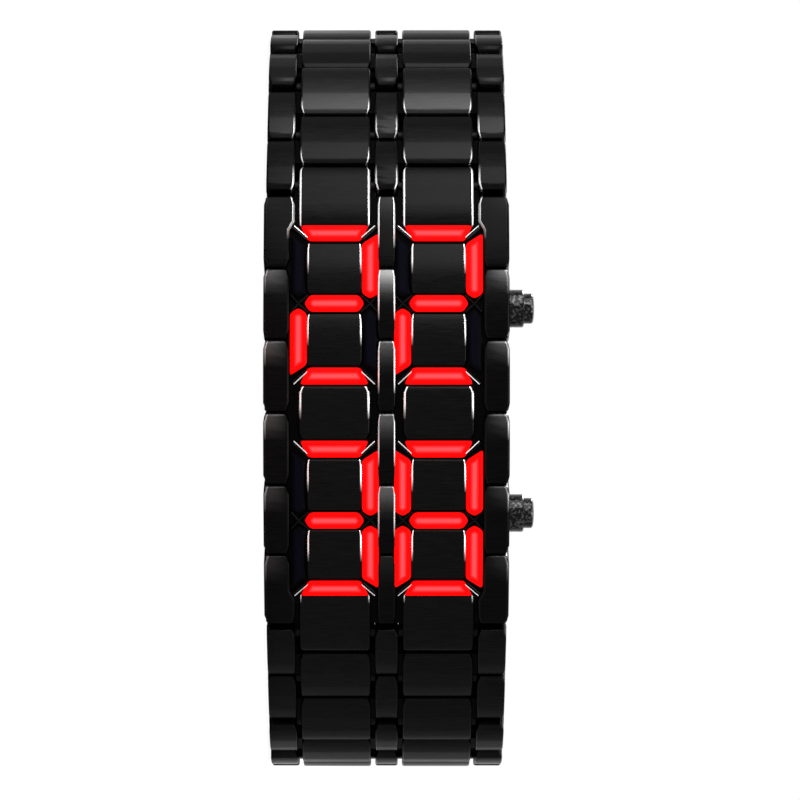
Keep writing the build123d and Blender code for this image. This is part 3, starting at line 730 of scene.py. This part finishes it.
# The flank and middle blocks take the darker copy of the plating, which is painted shade.
shaded_flank_set = [shaded_flank_plating, highlight_edge_metal]
finish_piece("case_side_blocks", gather(side_blocks), "case", shaded_flank_set)
finish_piece("case_middle_blocks", gather(middle_blocks), "case", shaded_flank_set)
finish_piece("case_digit_blocks", gather(digit_blocks), "case", steel_set)
print("case blocks made")

# %% [markdown]
# The case body carries the blocks. It is a thick arc, so a rectangle is spun about the case's axis.
# It is hollow: two more arcs are cut out of it, a shallow one for the back cover and a deep one for
# the module. A boolean is the right tool here, because the cuts cross each other and the button
# bores, and it keeps the wall closed. The floor between the blocks is left matt and black.

# %% Case body
flank_inset = 0.3
back_rim, cover_thickness = 1.0, 1.0
side_wall, ceiling_radius = 2.2, 45.9
recess_turn, cavity_turn = side_turn - 0.0078, side_turn - 0.0686
spin_steps, back_edge = 24, 0.25


def spun_band(inner, outer, margin, half_turn):
    """A thick arc about the case's axis, closed at both ends, with a margin at both flanks."""
    bm = bmesh.new()
    z_low, z_high = margin, case_width - margin
    corners = [(inner, z_low), (outer, z_low), (outer, z_high), (inner, z_high)]
    start = Matrix.Translation((0, axis_y, 0)) @ Matrix.Rotation(-half_turn, 4, "Z")
    face = bm.faces.new([bm.verts.new(start @ Vector((0, -radius, z))) for radius, z in corners])
    bmesh.ops.spin(
        bm, geom=[face], axis=(0, 0, 1), cent=(0, axis_y, 0), angle=2 * half_turn,
        steps=spin_steps, use_merge=False, use_duplicate=False,
    )
    bmesh.ops.remove_doubles(bm, verts=bm.verts, dist=0.001)
    bmesh.ops.recalc_face_normals(bm, faces=bm.faces)
    return bm


def radius_of(point):
    return math.hypot(point.x, axis_y - point.y)


def case_body():
    body = spun_band(back_radius, floor_radius, flank_inset, side_turn)
    seat_radius = back_radius + cover_thickness
    recess = spun_band(back_radius - 1, seat_radius, flank_inset + back_rim, recess_turn)
    cavity = spun_band(back_radius - 1, ceiling_radius, side_wall, cavity_turn)
    body = cut_out(body, [recess, cavity] + button_bores("upper") + button_bores("lower"))
    rim = [
        edge for edge in body.edges
        if edge.calc_face_angle(0) > 1.0 and radius_of(middle_of(edge)) < back_radius + 0.2
    ]
    bevel(body, rim, back_edge, 2)
    return body


finish_piece(
    "case_body", case_body(), "case", [groove_black], ["case_shell"]
)
print("case body made")

# %% [markdown]
# The shapes of the light bars. A digit has seven. The top and bottom bars are mitred at both ends,
# the upright ones at one end, and the middle one is pointed. Each is an outline seen from the
# front, and one outline serves several bars, turned round by a sign.

# %% Shapes of the light bars
bar_half = 0.75
cap_outer, cap_inner = 3.25, 2.5
bar_reach, point = 2.85, 0.5
side_offset = 3.5
side_foot, side_outer, side_inner = -3.025, 3.395, 2.425


def cap_outline(sign):
    outer, inner = sign * bar_half, -sign * bar_half
    return [(outer, -cap_outer), (outer, cap_outer), (inner, cap_inner), (inner, -cap_inner)]


def middle_outline():
    edge = bar_reach - point
    return [(-bar_half, -edge), (-bar_half, edge), (0, bar_reach), (bar_half, edge),
            (bar_half, -edge), (0, -bar_reach)]


def upright_outline(sign, side):
    points = [(side_outer, bar_half), (side_inner, -bar_half), (side_foot + point, -bar_half),
              (side_foot, 0), (side_foot + point, bar_half)]
    return [(sign * x, side * z) for x, z in points]


segments = {
    "a": (cap_outline(-1), -1, 0),
    "b": (upright_outline(-1, 1), -0.5, side_offset),
    "c": (upright_outline(1, 1), 0.5, side_offset),
    "d": (cap_outline(1), 1, 0),
    "e": (upright_outline(1, -1), 0.5, -side_offset),
    "f": (upright_outline(-1, -1), -0.5, -side_offset),
    "g": (middle_outline(), 0, 0),
}
print("bars in a digit:", len(segments))

# %% [markdown]
# The light bars. Each is a stack of rings, one a little further inside the outline and higher than
# the last, and the rings are joined into a skin. The last ring lies along the centre, where the
# "middle" attribute is 1, so the glow has its paler core without a texture. Rings are used instead
# of insets, because each carries its own depth and its own two values.

# %% Light bars
bar_top = 47.88
corner_cut, corner_shrink, corner_steps = 0.34, 1.3, 4
# Each ring: inset, depth, glow, middle.
lit_rings = [
    (-0.09, 0.98, 0.0, 0.0), (-0.09, 0.16, 0.0, 0.0), (-0.03, 0.11, 0.1, 0.0),
    (0.05, 0.05, 1.0, 0.0), (0.14, 0.0, 1.0, 0.0), (0.34, 0.0, 1.0, 0.0), (0.5, 0.0, 1.0, 0.3),
    (0.64, 0.0, 1.0, 1.0),
]
unlit_rings = [
    (0.0, 0.98, 0.0, 0.0), (0.0, 0.3, 0.0, 0.0), (0.3, 0.06, 0.0, 0.3), (0.5, 0.0, 0.0, 1.0),
]


def inset_outline(points, distance):
    """The outline with every side moved inwards by the distance, its corners kept sharp."""
    count = len(points)
    area = sum(Vector(points[i - 1]).cross(Vector(points[i])) for i in range(count))
    turn = math.copysign(1, area)
    sides = []
    for start, stop in zip(points, points[1:] + points[:1]):
        run = (Vector(stop) - Vector(start)).normalized()
        inward = Vector((-run.y, run.x)) * turn
        sides.append((Vector(start) + inward * distance, run))
    corners = []
    for i in range(count):
        (one, along), (other, across) = sides[i - 1], sides[i]
        reach = (other - one).cross(across) / along.cross(across)
        corners.append(one + along * reach)
    return corners


def rounded_outline(points, cut):
    """The outline with each corner replaced by a short curve."""
    outline = []
    for i, corner in enumerate(points):
        before = (points[i - 1] - corner).normalized() * cut
        after = (points[(i + 1) % len(points)] - corner).normalized() * cut
        for step in range(corner_steps + 1):
            t = step / corner_steps
            outline.append(corner + before * (1 - t) ** 2 + after * t ** 2)
    return outline


def join_rings(bm, rings):
    """Joins rings of points into a skin and closes both of its ends. A bridge may turn by a corner
    between two level rings, so each face is drawn here between points of the same number."""
    for lower, upper in zip(rings, rings[1:]):
        for i in range(len(lower)):
            bm.faces.new((lower[i - 1], lower[i], upper[i], upper[i - 1]))
    bm.faces.new(rings[0])
    bm.faces.new(rings[-1])
    bmesh.ops.recalc_face_normals(bm, faces=bm.faces)


def light_bar(outline, digit_row, row, digit_z, side, lit):
    """A resin bar on the arc, built as rings of inset, depth, glow and middle from its foot up."""
    bm = bmesh.new()
    middle = bm.verts.layers.float.new("middle")
    glow = bm.verts.layers.float.new("glow")
    rings = []
    for inset, depth, light, core in lit_rings if lit else unlit_rings:
        cut = corner_cut * (1 - corner_shrink * max(0, inset))
        points = rounded_outline(inset_outline(outline, inset), cut)
        rings.append([bm.verts.new((x, depth, z)) for x, z in points])
        for vert in rings[-1]:
            vert[glow], vert[middle] = light, core
    join_rings(bm, rings)
    bmesh.ops.translate(bm, verts=bm.verts, vec=(0, 0, digit_z + side))
    return lay(bm, seat(bar_top, (digit_row + row) * row_pitch))


digits = {
    "hour_tens": (-1.5, digit_places[0], "abged"),
    "hour_units": (-1.5, digit_places[1], "abged"),
    "minute_tens": (1.5, digit_places[0], "abgcd"),
    "minute_units": (1.5, digit_places[1], "abcdefg"),
}
unlit = []
for name, (digit_row, digit_z, lit) in digits.items():
    bars = {
        letter: light_bar(outline, digit_row, row, digit_z, side, letter in lit)
        for letter, (outline, row, side) in segments.items()
    }
    glowing = [bars[letter] for letter in bars if letter in lit]
    unlit += [bars[letter] for letter in bars if letter not in lit]
    finish_piece(
        f"bars_{name}", gather(glowing), "case", [lit_resin], [f"lit_bars_{name}"]
    )
finish_piece("bars_unlit", gather(unlit), "case", [dark_resin], ["unlit_bars"])
print("light bars made for", len(digits), "digits")

# %% [markdown]
# Ribs between the bars. Thin diagonal walls keep the light of one bar out of the next, and the
# photograph shows them as black crosses with bright edges. Each is a narrow four-cornered strip,
# and the bright edge on its cap side is a painted highlight.

# %% Ribs
rib_top, rib_depth = 47.84, 0.6
corner_rib = ((-0.7, 4.02), (0.52, 2.72))
cross_reach_x, cross_inner_z, cross_outer_z = 0.86, 2.56, 4.24
corner_half_width, cross_half_width = 0.2, 0.11
# The ribs' bright edge is a painted highlight.
rib_edge, rib_bright_edge, rib_edge_highlight = 0.05, 0.12, evenly(0.9)


def strip(start, stop, half_width, along, z, lit_edge):
    """A low wall between two points, on the arc. The edge nearer to the cap bar may carry a painted
    highlight.
    """
    start, stop = Vector(start), Vector(stop)
    run = stop - start
    aside = Vector((-run.y, run.x)).normalized() * half_width
    if (start + aside).length > (start - aside).length:
        aside = -aside
    corners = [start + aside, stop + aside, stop - aside, start - aside]
    bm = bmesh.new()
    points = [bm.verts.new((x, 0, across)) for x, across in corners]
    bm.faces.new(points)
    push_out(bm, bm.faces[:], (0, rib_depth, 0))
    bright = [edge for edge in bm.edges if set(edge.verts) == set(points[:2])] if lit_edge else []
    rim = [
        edge for edge in bm.edges
        if abs(edge.verts[0].co.y) < 0.01 and abs(edge.verts[1].co.y) < 0.01 and edge not in bright
    ]
    bevel(bm, bright, rib_bright_edge, 2, edge_slot)
    bevel(bm, [edge for edge in rim if edge.is_valid], rib_edge, 1)
    paint_light_into(bm, "painted_edge_highlight", (0, 1), (0, 1), rib_edge_highlight)
    bmesh.ops.translate(bm, verts=bm.verts, vec=(0, 0, z))
    return lay(bm, seat(rib_top, along))


ribs = []
for digit_row, digit_z, _ in digits.values():
    middle_row = digit_row * row_pitch
    for side in (-1, 1):
        for sign in (-1, 1):
            ends = [(-sign * x, side * z) for x, z in corner_rib]
            cap_row = (digit_row + sign) * row_pitch
            ribs.append(strip(*ends, corner_half_width, cap_row, digit_z, True))
            centre = (0, side * side_offset)
            for z in (cross_inner_z, cross_outer_z):
                end = (sign * cross_reach_x, side * z)
                ribs.append(strip(centre, end, cross_half_width, middle_row, digit_z, False))
finish_piece("digit_ribs", gather(ribs), "case", [plating, highlight_edge_metal])
print("ribs made")

# %% [markdown]
# One column of a link. In the side view it is a crowned plate: a round knuckle about its pin at one
# end, a drop at the other, and a long slope to both ends of its crown. Seen from the front it is
# barrel-shaped. The outline has the sharp corners, and bevels of different widths round them, the
# widest of them for the knuckle.

# %% One column of a link
knuckle_radius = 1.6
knuckle_round = knuckle_radius * 0.97
crown_height, crown_slope = 2.1, 1.4
crown_round = crown_slope * 0.8
shoulder_height, shoulder_lean, shoulder_drop, shoulder_round = 1.6, 0.2, 0.4, 0.3
column_slices = 6
near = 0.1
link_pitch = 7.05
joint_gap = 0.22
link_edge = 0.2
wide_flat = link_pitch * 0.25 + joint_gap / 2
narrow_flat = link_pitch * 0.75 - joint_gap / 2


def column(x_low, x_high, z_low, z_high, knuckle_x, painted_edge_highlight, painted_sheen, drawn=(0.22, 0.22)):
    """A crowned column between two ends, with its knuckle at one of them. Two arguments give its
    painted light: the painted highlight on its rims and the painted sheen on its crown. drawn says
    how far each end is drawn in."""
    outline = [
        (x_low, knuckle_radius), (x_high, knuckle_radius),
        (x_high, -shoulder_height + shoulder_drop), (x_high - shoulder_lean, -shoulder_height),
        (x_high - shoulder_lean - crown_slope, -crown_height),
        (x_low + shoulder_lean + crown_slope, -crown_height),
        (x_low + shoulder_lean, -shoulder_height), (x_low, -shoulder_height + shoulder_drop),
    ]
    bm = drawn_out(outline, z_low, z_high)
    across = [(edge, middle_of(edge)) for edge in bm.edges if runs_across(edge)]
    knuckle = [edge for edge, at in across if at.y > 0 and abs(at.x - knuckle_x) < near]
    crest = [edge for edge, at in across if at.y < -crown_height + near]
    shoulders = [edge for edge, at in across if abs(at.y + shoulder_height) < near]
    bevel(bm, crest, crown_round, 5)
    bevel(bm, shoulders, shoulder_round, 3)
    bevel(bm, knuckle, knuckle_round, 8)
    middle_x = (x_low + x_high) / 2
    bmesh.ops.translate(bm, verts=bm.verts, vec=(-middle_x, 0, 0))
    draw_in_ends(bm, (x_high - x_low) / 2, (z_low + z_high) / 2, *drawn)
    bmesh.ops.translate(bm, verts=bm.verts, vec=(middle_x, 0, 0))
    slice_lengthwise(bm, x_low, x_high, column_slices)
    bm.normal_update()
    rims = [edge for edge in bm.edges if is_side_rim(edge)]
    bevel(bm, rims, link_edge, 3, edge_slot)
    paint_light_into(bm, "painted_edge_highlight", (x_low, x_high), (z_low, z_high), painted_edge_highlight)
    paint_light_into(bm, "painted_sheen", (x_low, x_high), (z_low, z_high), painted_sheen)
    return bm


print("column flats at", round(wide_flat, 3), round(narrow_flat, 3))

# %% [markdown]
# The places of the links. A link has its five columns at fixed places across the bracelet, and lies
# between its own pin and the next. The joints of the CAD model name the pins, so the links follow
# it. The 12 o'clock half is the mirror image of the 6 o'clock half.

# %% Places of the links
outer_column, wide_column, middle_column = 2.8, 6.95, 2.3
column_gap = 0.45
inset = 0.2
left_outer = (inset, inset + outer_column)
left_wide = (left_outer[1] + column_gap, left_outer[1] + column_gap + wide_column)
middle = (left_wide[1] + column_gap, left_wide[1] + column_gap + middle_column)
right_wide = (case_width - left_wide[1], case_width - left_wide[0])
right_outer = (case_width - left_outer[1], case_width - left_outer[0])
link_count = 8
mirror_x = Matrix.Diagonal((-1, 1, 1, 1))


def hinge_place(number):
    """The place of a pin on the 6 o'clock side, in millimetres. The ninth is the spring bar."""
    name = f"lower_hinge_{number}" if number <= link_count else "clasp_hinge"
    x, y, _ = joint_places[name]
    return Vector((x, y, 0)) / mm


def link_matrix(side, number):
    """Lays a link between its own pin and the next."""
    own, following = hinge_place(number), hinge_place(number + 1)
    run = following - own
    matrix = Matrix.Translation(own) @ Matrix.Rotation(math.atan2(run.y, run.x), 4, "Z")
    return matrix if side == "lower" else mirror_x @ matrix


print("wide column", [round(z, 2) for z in left_wide], "first pin", hinge_place(1)[:2])

# %% [markdown]
# The links. Three narrow columns stand nearer the case and two wide ones further away, and a low
# web joins them under the surface. One function builds a link, and it is laid sixteen times. The
# links nearest above the case carry a painted sheen on their crowns and painted highlights on their
# rims.

# %% Links
web_gap, web_height = 0.08, 1.4
nose_gap, nose_half, nose_root = 0.06, 0.5, 0.9


def wide_piece(z_low, z_high, painted_edge_highlight, painted_sheen=no_painted_light, **more):
    end = link_pitch + knuckle_radius
    return column(wide_flat, end, z_low, z_high, end, painted_edge_highlight, painted_sheen, **more)


def narrow_piece(z_low, z_high, painted_edge_highlight, painted_sheen=no_painted_light):
    return column(-knuckle_radius, narrow_flat, z_low, z_high, -knuckle_radius, painted_edge_highlight, painted_sheen)


def narrow_rim_highlight(side_of_flank):
    """Painted highlight on a narrow column's rims, only on the side away from the bracelet's flank.
    """
    return lambda share, side: 0.7 * fall(share, 0.1, 0.38) if side * side_of_flank <= 0 else 0.0


def link_web():
    """The web, with a low nose at each end that closes the seam to the next link's knuckles."""
    low, high = wide_flat + web_gap, narrow_flat - web_gap
    nose_low = knuckle_radius + nose_gap
    nose_high = link_pitch - nose_low
    outline = [
        (low, -web_height), (high, -web_height), (high, -nose_root), (nose_high, -nose_half),
        (nose_high, nose_half), (high, nose_root), (high, knuckle_radius), (low, knuckle_radius),
        (low, nose_root), (nose_low, nose_half), (nose_low, -nose_half), (low, -nose_root),
    ]
    bm = drawn_out(outline, left_outer[1] - link_edge, right_outer[0] + link_edge)
    give_material(bm.faces, groove_slot)
    return bm


def crown_sheen(amount):
    """Painted sheen, strongest at the end nearest to the case and none at the other end."""
    return lambda share, side: amount * (1 - share)


# How much painted sheen and painted rim highlight the links nearest to the case's top carry.
wide_crown_sheen = {1: 0.006, 2: 0.05, 3: 0.005}
narrow_crown_sheen = {2: 0.02, 3: 0.015}
bright_rows, wide_rim_highlight = (1, 2), fading(0.9, 0.05, 0.22)


def link_steel(side, number):
    """The five columns and the web. Only the three links nearest to the case's top carry painted
    sheen, and the two nearest also painted rim highlights.
    """
    row = number if side == "upper" else None
    bright = row in bright_rows
    narrow_sheen, wide_sheen = (crown_sheen(light_painting.get(row, 0)) for light_painting in (narrow_crown_sheen, wide_crown_sheen))
    flanks = {-1: left_outer, 0: middle, 1: right_outer}
    columns = [
        narrow_piece(*span, narrow_rim_highlight(flank) if bright else no_painted_light, narrow_sheen)
        for flank, span in flanks.items()
    ]
    columns += [
        wide_piece(*span, wide_rim_highlight if bright else no_painted_light, wide_sheen)
        for span in (left_wide, right_wide)
    ]
    return columns + [link_web()]


for side in ("upper", "lower"):
    for number in range(1, link_count + 1):
        steel = gather(link_steel(side, number), link_matrix(side, number))
        body = f"{side}_link_{number}"
        finish_piece(
            f"{side}_bracelet_link_{number}", steel, body, steel_set, [body]
        )
print("links made:", 2 * link_count)

# %% [markdown]
# The end pieces of the case have the links' wide form and hold the first pins. They lean a little
# less than the first link, because they follow the end of the case.

# %% End pieces of the case
filler_outline = [(4.9, -0.9), (6.35, -0.9), (6.35, 1.2), (4.9, 1.2)]
filler_gap, filler_overlap, filler_edge = 0.02, 0.25, 0.1
gap_fillers = [
    (left_outer[1] + filler_gap, left_wide[0] + filler_overlap),
    (left_wide[1] - filler_overlap, middle[0] - filler_gap),
    (middle[1] + filler_gap, right_wide[0] + filler_overlap),
    (right_wide[1] - filler_overlap, right_outer[0] - filler_gap),
]
# The painted highlights on the end pieces' rims: near one end on the 6 o'clock side, all along on
# the 12 o'clock side.
corner_rim_highlight, full_rim_highlight = fading(1.0, 0.02, 0.1), evenly(1.0)


def end_pieces():
    own = hinge_place(1)
    pin_turn = math.atan2(own.x, axis_y - own.y)
    tilt = pin_turn - link_pitch / 4 / front_radius
    place = Matrix.Translation(own) @ Matrix.Rotation(tilt, 4, "Z")
    place = place @ Matrix.Translation((-link_pitch, 0, 0))
    ends = []
    for matrix, painted_edge_highlight in ((place, corner_rim_highlight), (mirror_x @ place, full_rim_highlight)):
        for span in (left_wide, right_wide):
            ends.append(lay(wide_piece(*span, painted_edge_highlight, drawn=(0.0, 0.22)), matrix))
        ends.append(lay(link_web(), matrix))
        for z_low, z_high in gap_fillers:
            filler = drawn_out(filler_outline, z_low, z_high)
            across = [edge for edge in filler.edges if runs_across(edge)]
            bevel(filler, across, filler_edge, 2)
            give_material(filler.faces, groove_slot)
            ends.append(lay(filler, matrix))
    return ends


finish_piece(
    "case_end_pieces", gather(end_pieces()), "case", steel_set
)
print("end pieces made")

# %% [markdown]
# The pins. Their ends show as small discs on the bracelet's flanks. A circle is extruded and its
# rims are bevelled; the whole row is one loop over the joints.

# %% Pins
pin_radius, pin_reach = 0.6, 0.04
pin_low, pin_high = left_outer[0] - pin_reach, right_outer[1] + pin_reach
for side, sign in (("upper", -1), ("lower", 1)):
    for number in range(1, link_count + 1):
        own = hinge_place(number)
        bar = round_bar(pin_radius, sign * own.x, own.y, pin_low, pin_high)
        finish_piece(
            f"{side}_pin_{number}", bar, f"{side}_link_{number}", [pin_steel],
            [f"{side}_link_pin_{number}"],
        )
print("pins made:", 2 * link_count)

# %% [markdown]
# The push buttons are turned parts, so each is a profile of radius and height spun round its
# axis. The tube has a thin lip, and the button's slightly domed end has a small bevel at its rim.
# The stem is a little shorter than in the CAD model, so that a full press ends at the board's edge.

# %% Push buttons
tube_box = [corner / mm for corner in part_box("button_tubes")]
tube_bore, tube_lip = 1.65, 1.52
button_radius, collar_radius, stem_radius, dome = 1.48, 1.6, 0.6, 0.18
head_length, collar, stem_play = 1.5, 0.35, 0.1
stem_end = button_box["upper"][0].z - button_box["upper"][1].z + stem_play
tube_profile = [
    (tube_lip, -0.3), (tube_lip, -0.08), (tube_lip + 0.08, 0.0), (tube_radius - 0.12, 0.0),
    (tube_radius, -0.12), (tube_radius, -1.98), (tube_bore, -1.98), (tube_bore, -0.3),
]
button_profile = [
    (0.0, 0.0), (button_radius * 0.5, -0.03), (button_radius * 0.8, -0.09),
    (button_radius - 0.08, -dome), (button_radius, -dome - 0.12),
    (button_radius, -head_length), (collar_radius, -head_length),
    (collar_radius, -head_length - collar), (stem_radius, -head_length - collar),
    (stem_radius, stem_end), (0.0, stem_end),
]
turn_steps = 48


def turned(profile, x, y, top, closed):
    """A profile of radius and height below the top, spun round a line across the bracelet."""
    bm = bmesh.new()
    points = [bm.verts.new((x + radius, y, top + height)) for radius, height in profile]
    runs = [bm.edges.new(pair) for pair in zip(points, points[1:])]
    if closed:
        runs.append(bm.edges.new((points[-1], points[0])))
    bmesh.ops.spin(
        bm, geom=points + runs, axis=(0, 0, 1), cent=(x, y, 0), angle=math.tau,
        steps=turn_steps, use_merge=True, use_duplicate=False,
    )
    bmesh.ops.remove_doubles(bm, verts=bm.verts, dist=0.0005)
    bmesh.ops.recalc_face_normals(bm, faces=bm.faces)
    return bm


tubes = []
for side, (_, high) in button_box.items():
    tubes.append(turned(tube_profile, *button_axis(side), tube_box[1].z, closed=True))
    head = turned(button_profile, *button_axis(side), high.z, closed=False)
    finish_piece(
        f"{side}_push_button", head, f"{side}_button", [button_steel],
        [f"{side}_button"],
    )
finish_piece(
    "button_guides", gather(tubes), "case", [button_steel], ["button_tubes"]
)
print("buttons made")

# %% [markdown]
# The clasp cover closes the loop opposite the display. It is a shallow arc with a skirt down each
# side, so its section is a U. The section is laid at even steps round the arc and the steps are
# joined, which keeps the skirts' feet level; a spun section would curve them too. Two ears take the
# 12 o'clock spring bar and two lugs take the fold's pin.

# %% Clasp cover
cover_half, cover_height, cover_crown = 15.3, 2.0, 1.5
cover_plate, cover_skirt, cover_skirt_drop = 1.0, 1.0, 1.9
cover_steps, cover_edge, eye_edge, eye_steps = 20, 0.24, 0.12, 14
# A faint painted highlight on all of the cover's bevels.
cover_rim_highlight = evenly(0.12)
ear_radius, lug_radius = 1.4, 0.95
lug_place = Vector((12.695, 22.22))
lug_spans = ((4.0, 6.5), (case_width - 6.5, case_width - 4.0))


def cover_shell(own):
    arc_radius = (cover_half ** 2 + cover_crown ** 2) / (2 * cover_crown)
    centre_y = own.y + cover_height + cover_crown - arc_radius
    half_turn = math.asin(cover_half / arc_radius)
    foot = own.y - cover_skirt_drop
    bm = bmesh.new()
    rings = []
    for step in range(cover_steps + 1):
        turn = half_turn * (2 * step / cover_steps - 1)
        x = arc_radius * math.sin(turn)
        top = centre_y + arc_radius * math.cos(turn)
        under = top - cover_plate / math.cos(turn)
        section = [
            (top, 0), (top, case_width), (foot, case_width), (foot, case_width - cover_skirt),
            (under, case_width - cover_skirt), (under, cover_skirt), (foot, cover_skirt), (foot, 0),
        ]
        rings.append([bm.verts.new((x, y, z)) for y, z in section])
    join_rings(bm, rings)
    sharp = [edge for edge in bm.edges if edge.calc_face_angle(0) > 1.0]
    bevel(bm, sharp, cover_edge, 3, edge_slot)
    return bm


def eye_outline(centre, radius, low_turn, high_turn, ends):
    """The side view of an eye: part of a circle, then the corners where it meets its plate."""
    arc = []
    for step in range(eye_steps + 1):
        turn = math.radians(low_turn + (high_turn - low_turn) * step / eye_steps)
        arc.append((centre.x + radius * math.cos(turn), centre.y + radius * math.sin(turn)))
    return arc + ends


def eye_piece(outline, z_low, z_high):
    bm = drawn_out(outline, z_low, z_high)
    bevel(bm, [edge for edge in bm.edges if not runs_across(edge)], eye_edge, 2, edge_slot)
    return bm


def clasp_cover_pieces():
    own = hinge_place(9)
    ear = Vector((-own.x, own.y))
    ear_root = 1 - cover_half
    ear_ends = [(ear_root, ear.y - ear_radius / 2), (ear_root, ear.y + ear_radius)]
    ear_side = eye_outline(ear, ear_radius, 90, 330, ear_ends)
    lug_top = own.y + cover_height - cover_plate / 2
    lug_ends = [(lug_place.x + lug_radius, lug_top), (lug_place.x - lug_radius, lug_top)]
    lug_side = eye_outline(lug_place, lug_radius, 180, 360, lug_ends)
    pieces = [cover_shell(own)]
    pieces += [eye_piece(ear_side, *span) for span in (left_outer, right_outer)]
    pieces += [eye_piece(lug_side, *span) for span in lug_spans]
    for bm in pieces:
        paint_light_into(bm, "painted_edge_highlight", (-cover_half, cover_half), (0, case_width), cover_rim_highlight)
    return pieces


finish_piece(
    "bracelet_clasp_cover", gather(clasp_cover_pieces()), "clasp_cover",
    steel_set, ["clasp_cover"],
)
print("clasp cover made")

# %% [markdown]
# The spring bars are turned: a body with a step down to a thin tip at each end. A profile of radius
# and height is spun round the bar's own axis, as a lathe would cut it.

# %% Spring bars
tip_radius, bar_chamfer = 0.35, 0.06


def stepped_bar(x, y, tip_low, body_low):
    """A spring bar with both ends alike, between the flanks of the bracelet."""
    lower_half = [
        (pin_radius, body_low + bar_chamfer), (pin_radius - bar_chamfer, body_low),
        (tip_radius, body_low), (tip_radius, tip_low + bar_chamfer),
        (tip_radius - bar_chamfer, tip_low), (0.0, tip_low),
    ]
    upper_half = [(radius, case_width - height) for radius, height in reversed(lower_half)]
    return turned(upper_half + lower_half, x, y, 0.0, closed=False)


spring_places = {
    "upper": (-1, "upper_link_8", left_outer[1] + 0.25, left_outer[1] + 0.45),
    "lower": (1, "clasp_base", 1.1, 1.4),
}
for side, (sign, body, tip_low, body_low) in spring_places.items():
    own = hinge_place(9)
    bar = stepped_bar(sign * own.x, own.y, tip_low, body_low)
    finish_piece(
        f"{side}_turned_spring_bar", bar, body, [pin_steel],
        [f"{side}_spring_bar"],
    )
print("spring bars made")

# %% [markdown]
# The inner nodes keep their CAD shapes, because they lie inside the closed case or clasp. Each gets
# the finish of its own material. The back cover and the blades also get a bevel modifier, so that
# their long edges catch the light.

# %% Finishes of the CAD nodes
node_finishes = {
    back_steel: ["back_cover"],
    plating: ["clasp_bottom_blade", "clasp_middle_blade"],
    pin_steel: ["back_screws", "clasp_hinge_pins", "upper_button_spring", "lower_button_spring"],
    seal_rubber: ["back_gasket", "button_seals"],
    carrier_plastic: ["module_frame"],
    board_green: ["circuit_board"],
    chip_white: ["led_chips"],
    cell_steel: ["battery_inner", "battery_outer"],
    contact_brass: ["battery_contact"],
}
for material, names in node_finishes.items():
    for name in names:
        nodes[name].data.materials.clear()
        nodes[name].data.materials.append(material)
node_edge, node_edge_angle = 0.12, 40
for name in ("back_cover", "clasp_bottom_blade", "clasp_middle_blade"):
    soften = nodes[name].modifiers.new("edges", "BEVEL")
    soften.width, soften.segments = node_edge * mm, 2
    soften.limit_method, soften.angle_limit = "ANGLE", math.radians(node_edge_angle)
print("nodes finished:", sum(len(names) for names in node_finishes.values()))

# %% [markdown]
# The studio. A pale floor carries the watch and keeps its shadow. Black metal shows only what it
# mirrors, so the lamps are broad soft panels: one beyond the 12 o'clock end gives the crowns their
# light upper slopes, one over the right flank draws thin bright lines there, and one behind lights
# the clasp. The world is white where the camera or a mirroring surface looks at it, and a plain
# grey as a light.

# %% Studio
floor_size, floor_drop = 3.0, 0.0001
floor_white_share, floor_glow = 0.88, 1.08
world_light = 0.55


def add_floor():
    bm = bmesh.new()
    bmesh.ops.create_grid(bm, x_segments=8, y_segments=8, size=floor_size)
    floor = add_object("floor", as_mesh("floor", bm))
    floor.location.z = -floor_drop
    paper = speckled("floor_paper", greys(247, 249), (0.8, 0.9), 0.0, specks=60.0)
    show_white(paper)
    floor.data.materials.append(paper)


def show_white(material):
    """Lets the camera see this finish almost white, while it keeps part of its shadow."""
    tree = material.node_tree
    camera_ray = add_node(tree, "LightPath").outputs["Is Camera Ray"]
    white = add_node(tree, "Emission", {"Strength": floor_glow})
    mix = add_node(tree, "MixShader", {
        "Fac": maths(tree, "MULTIPLY", camera_ray, floor_white_share),
        1: tree.nodes["Principled BSDF"].outputs["BSDF"], 2: white.outputs["Emission"],
    })
    feed(tree, tree.nodes["Material Output"], {"Surface": mix.outputs["Shader"]})


def add_world():
    world = bpy.data.worlds.new("studio")
    bpy.context.scene.world = world
    world.use_nodes = True
    tree = world.node_tree
    path = add_node(tree, "LightPath").outputs
    seen = path["Is Camera Ray"]
    for ray in ("Is Glossy Ray", "Is Transmission Ray"):
        seen = maths(tree, "MAXIMUM", seen, path[ray])
    strength = map_range(tree, seen, to_min=world_light)
    feed(tree, tree.nodes["Background"], {"Color": (1.0, 1.0, 1.0, 1.0), "Strength": strength})


def add_panel(name, place, size, power, target=(0, 0, 0.012)):
    """A soft panel that faces the watch."""
    light = bpy.data.lights.new(name, "AREA")
    light.shape = "RECTANGLE"
    light.size, light.size_y = size
    light.energy = power
    lamp = add_object(name, light)
    lamp.location = place
    lamp.rotation_euler = (Vector(place) - Vector(target)).to_track_quat("Z", "Y").to_euler()


add_floor()
add_world()
add_panel("top_panel", (-0.45, -0.28, 0.06), (0.5, 0.12), 1.6)
add_panel("back_panel", (-0.3, 0.5, 0.35), (0.4, 0.2), 3.0)
add_panel("right_panel", (0.0, -0.25, 0.5), (0.4, 0.2), 2.0)
print("studio made")
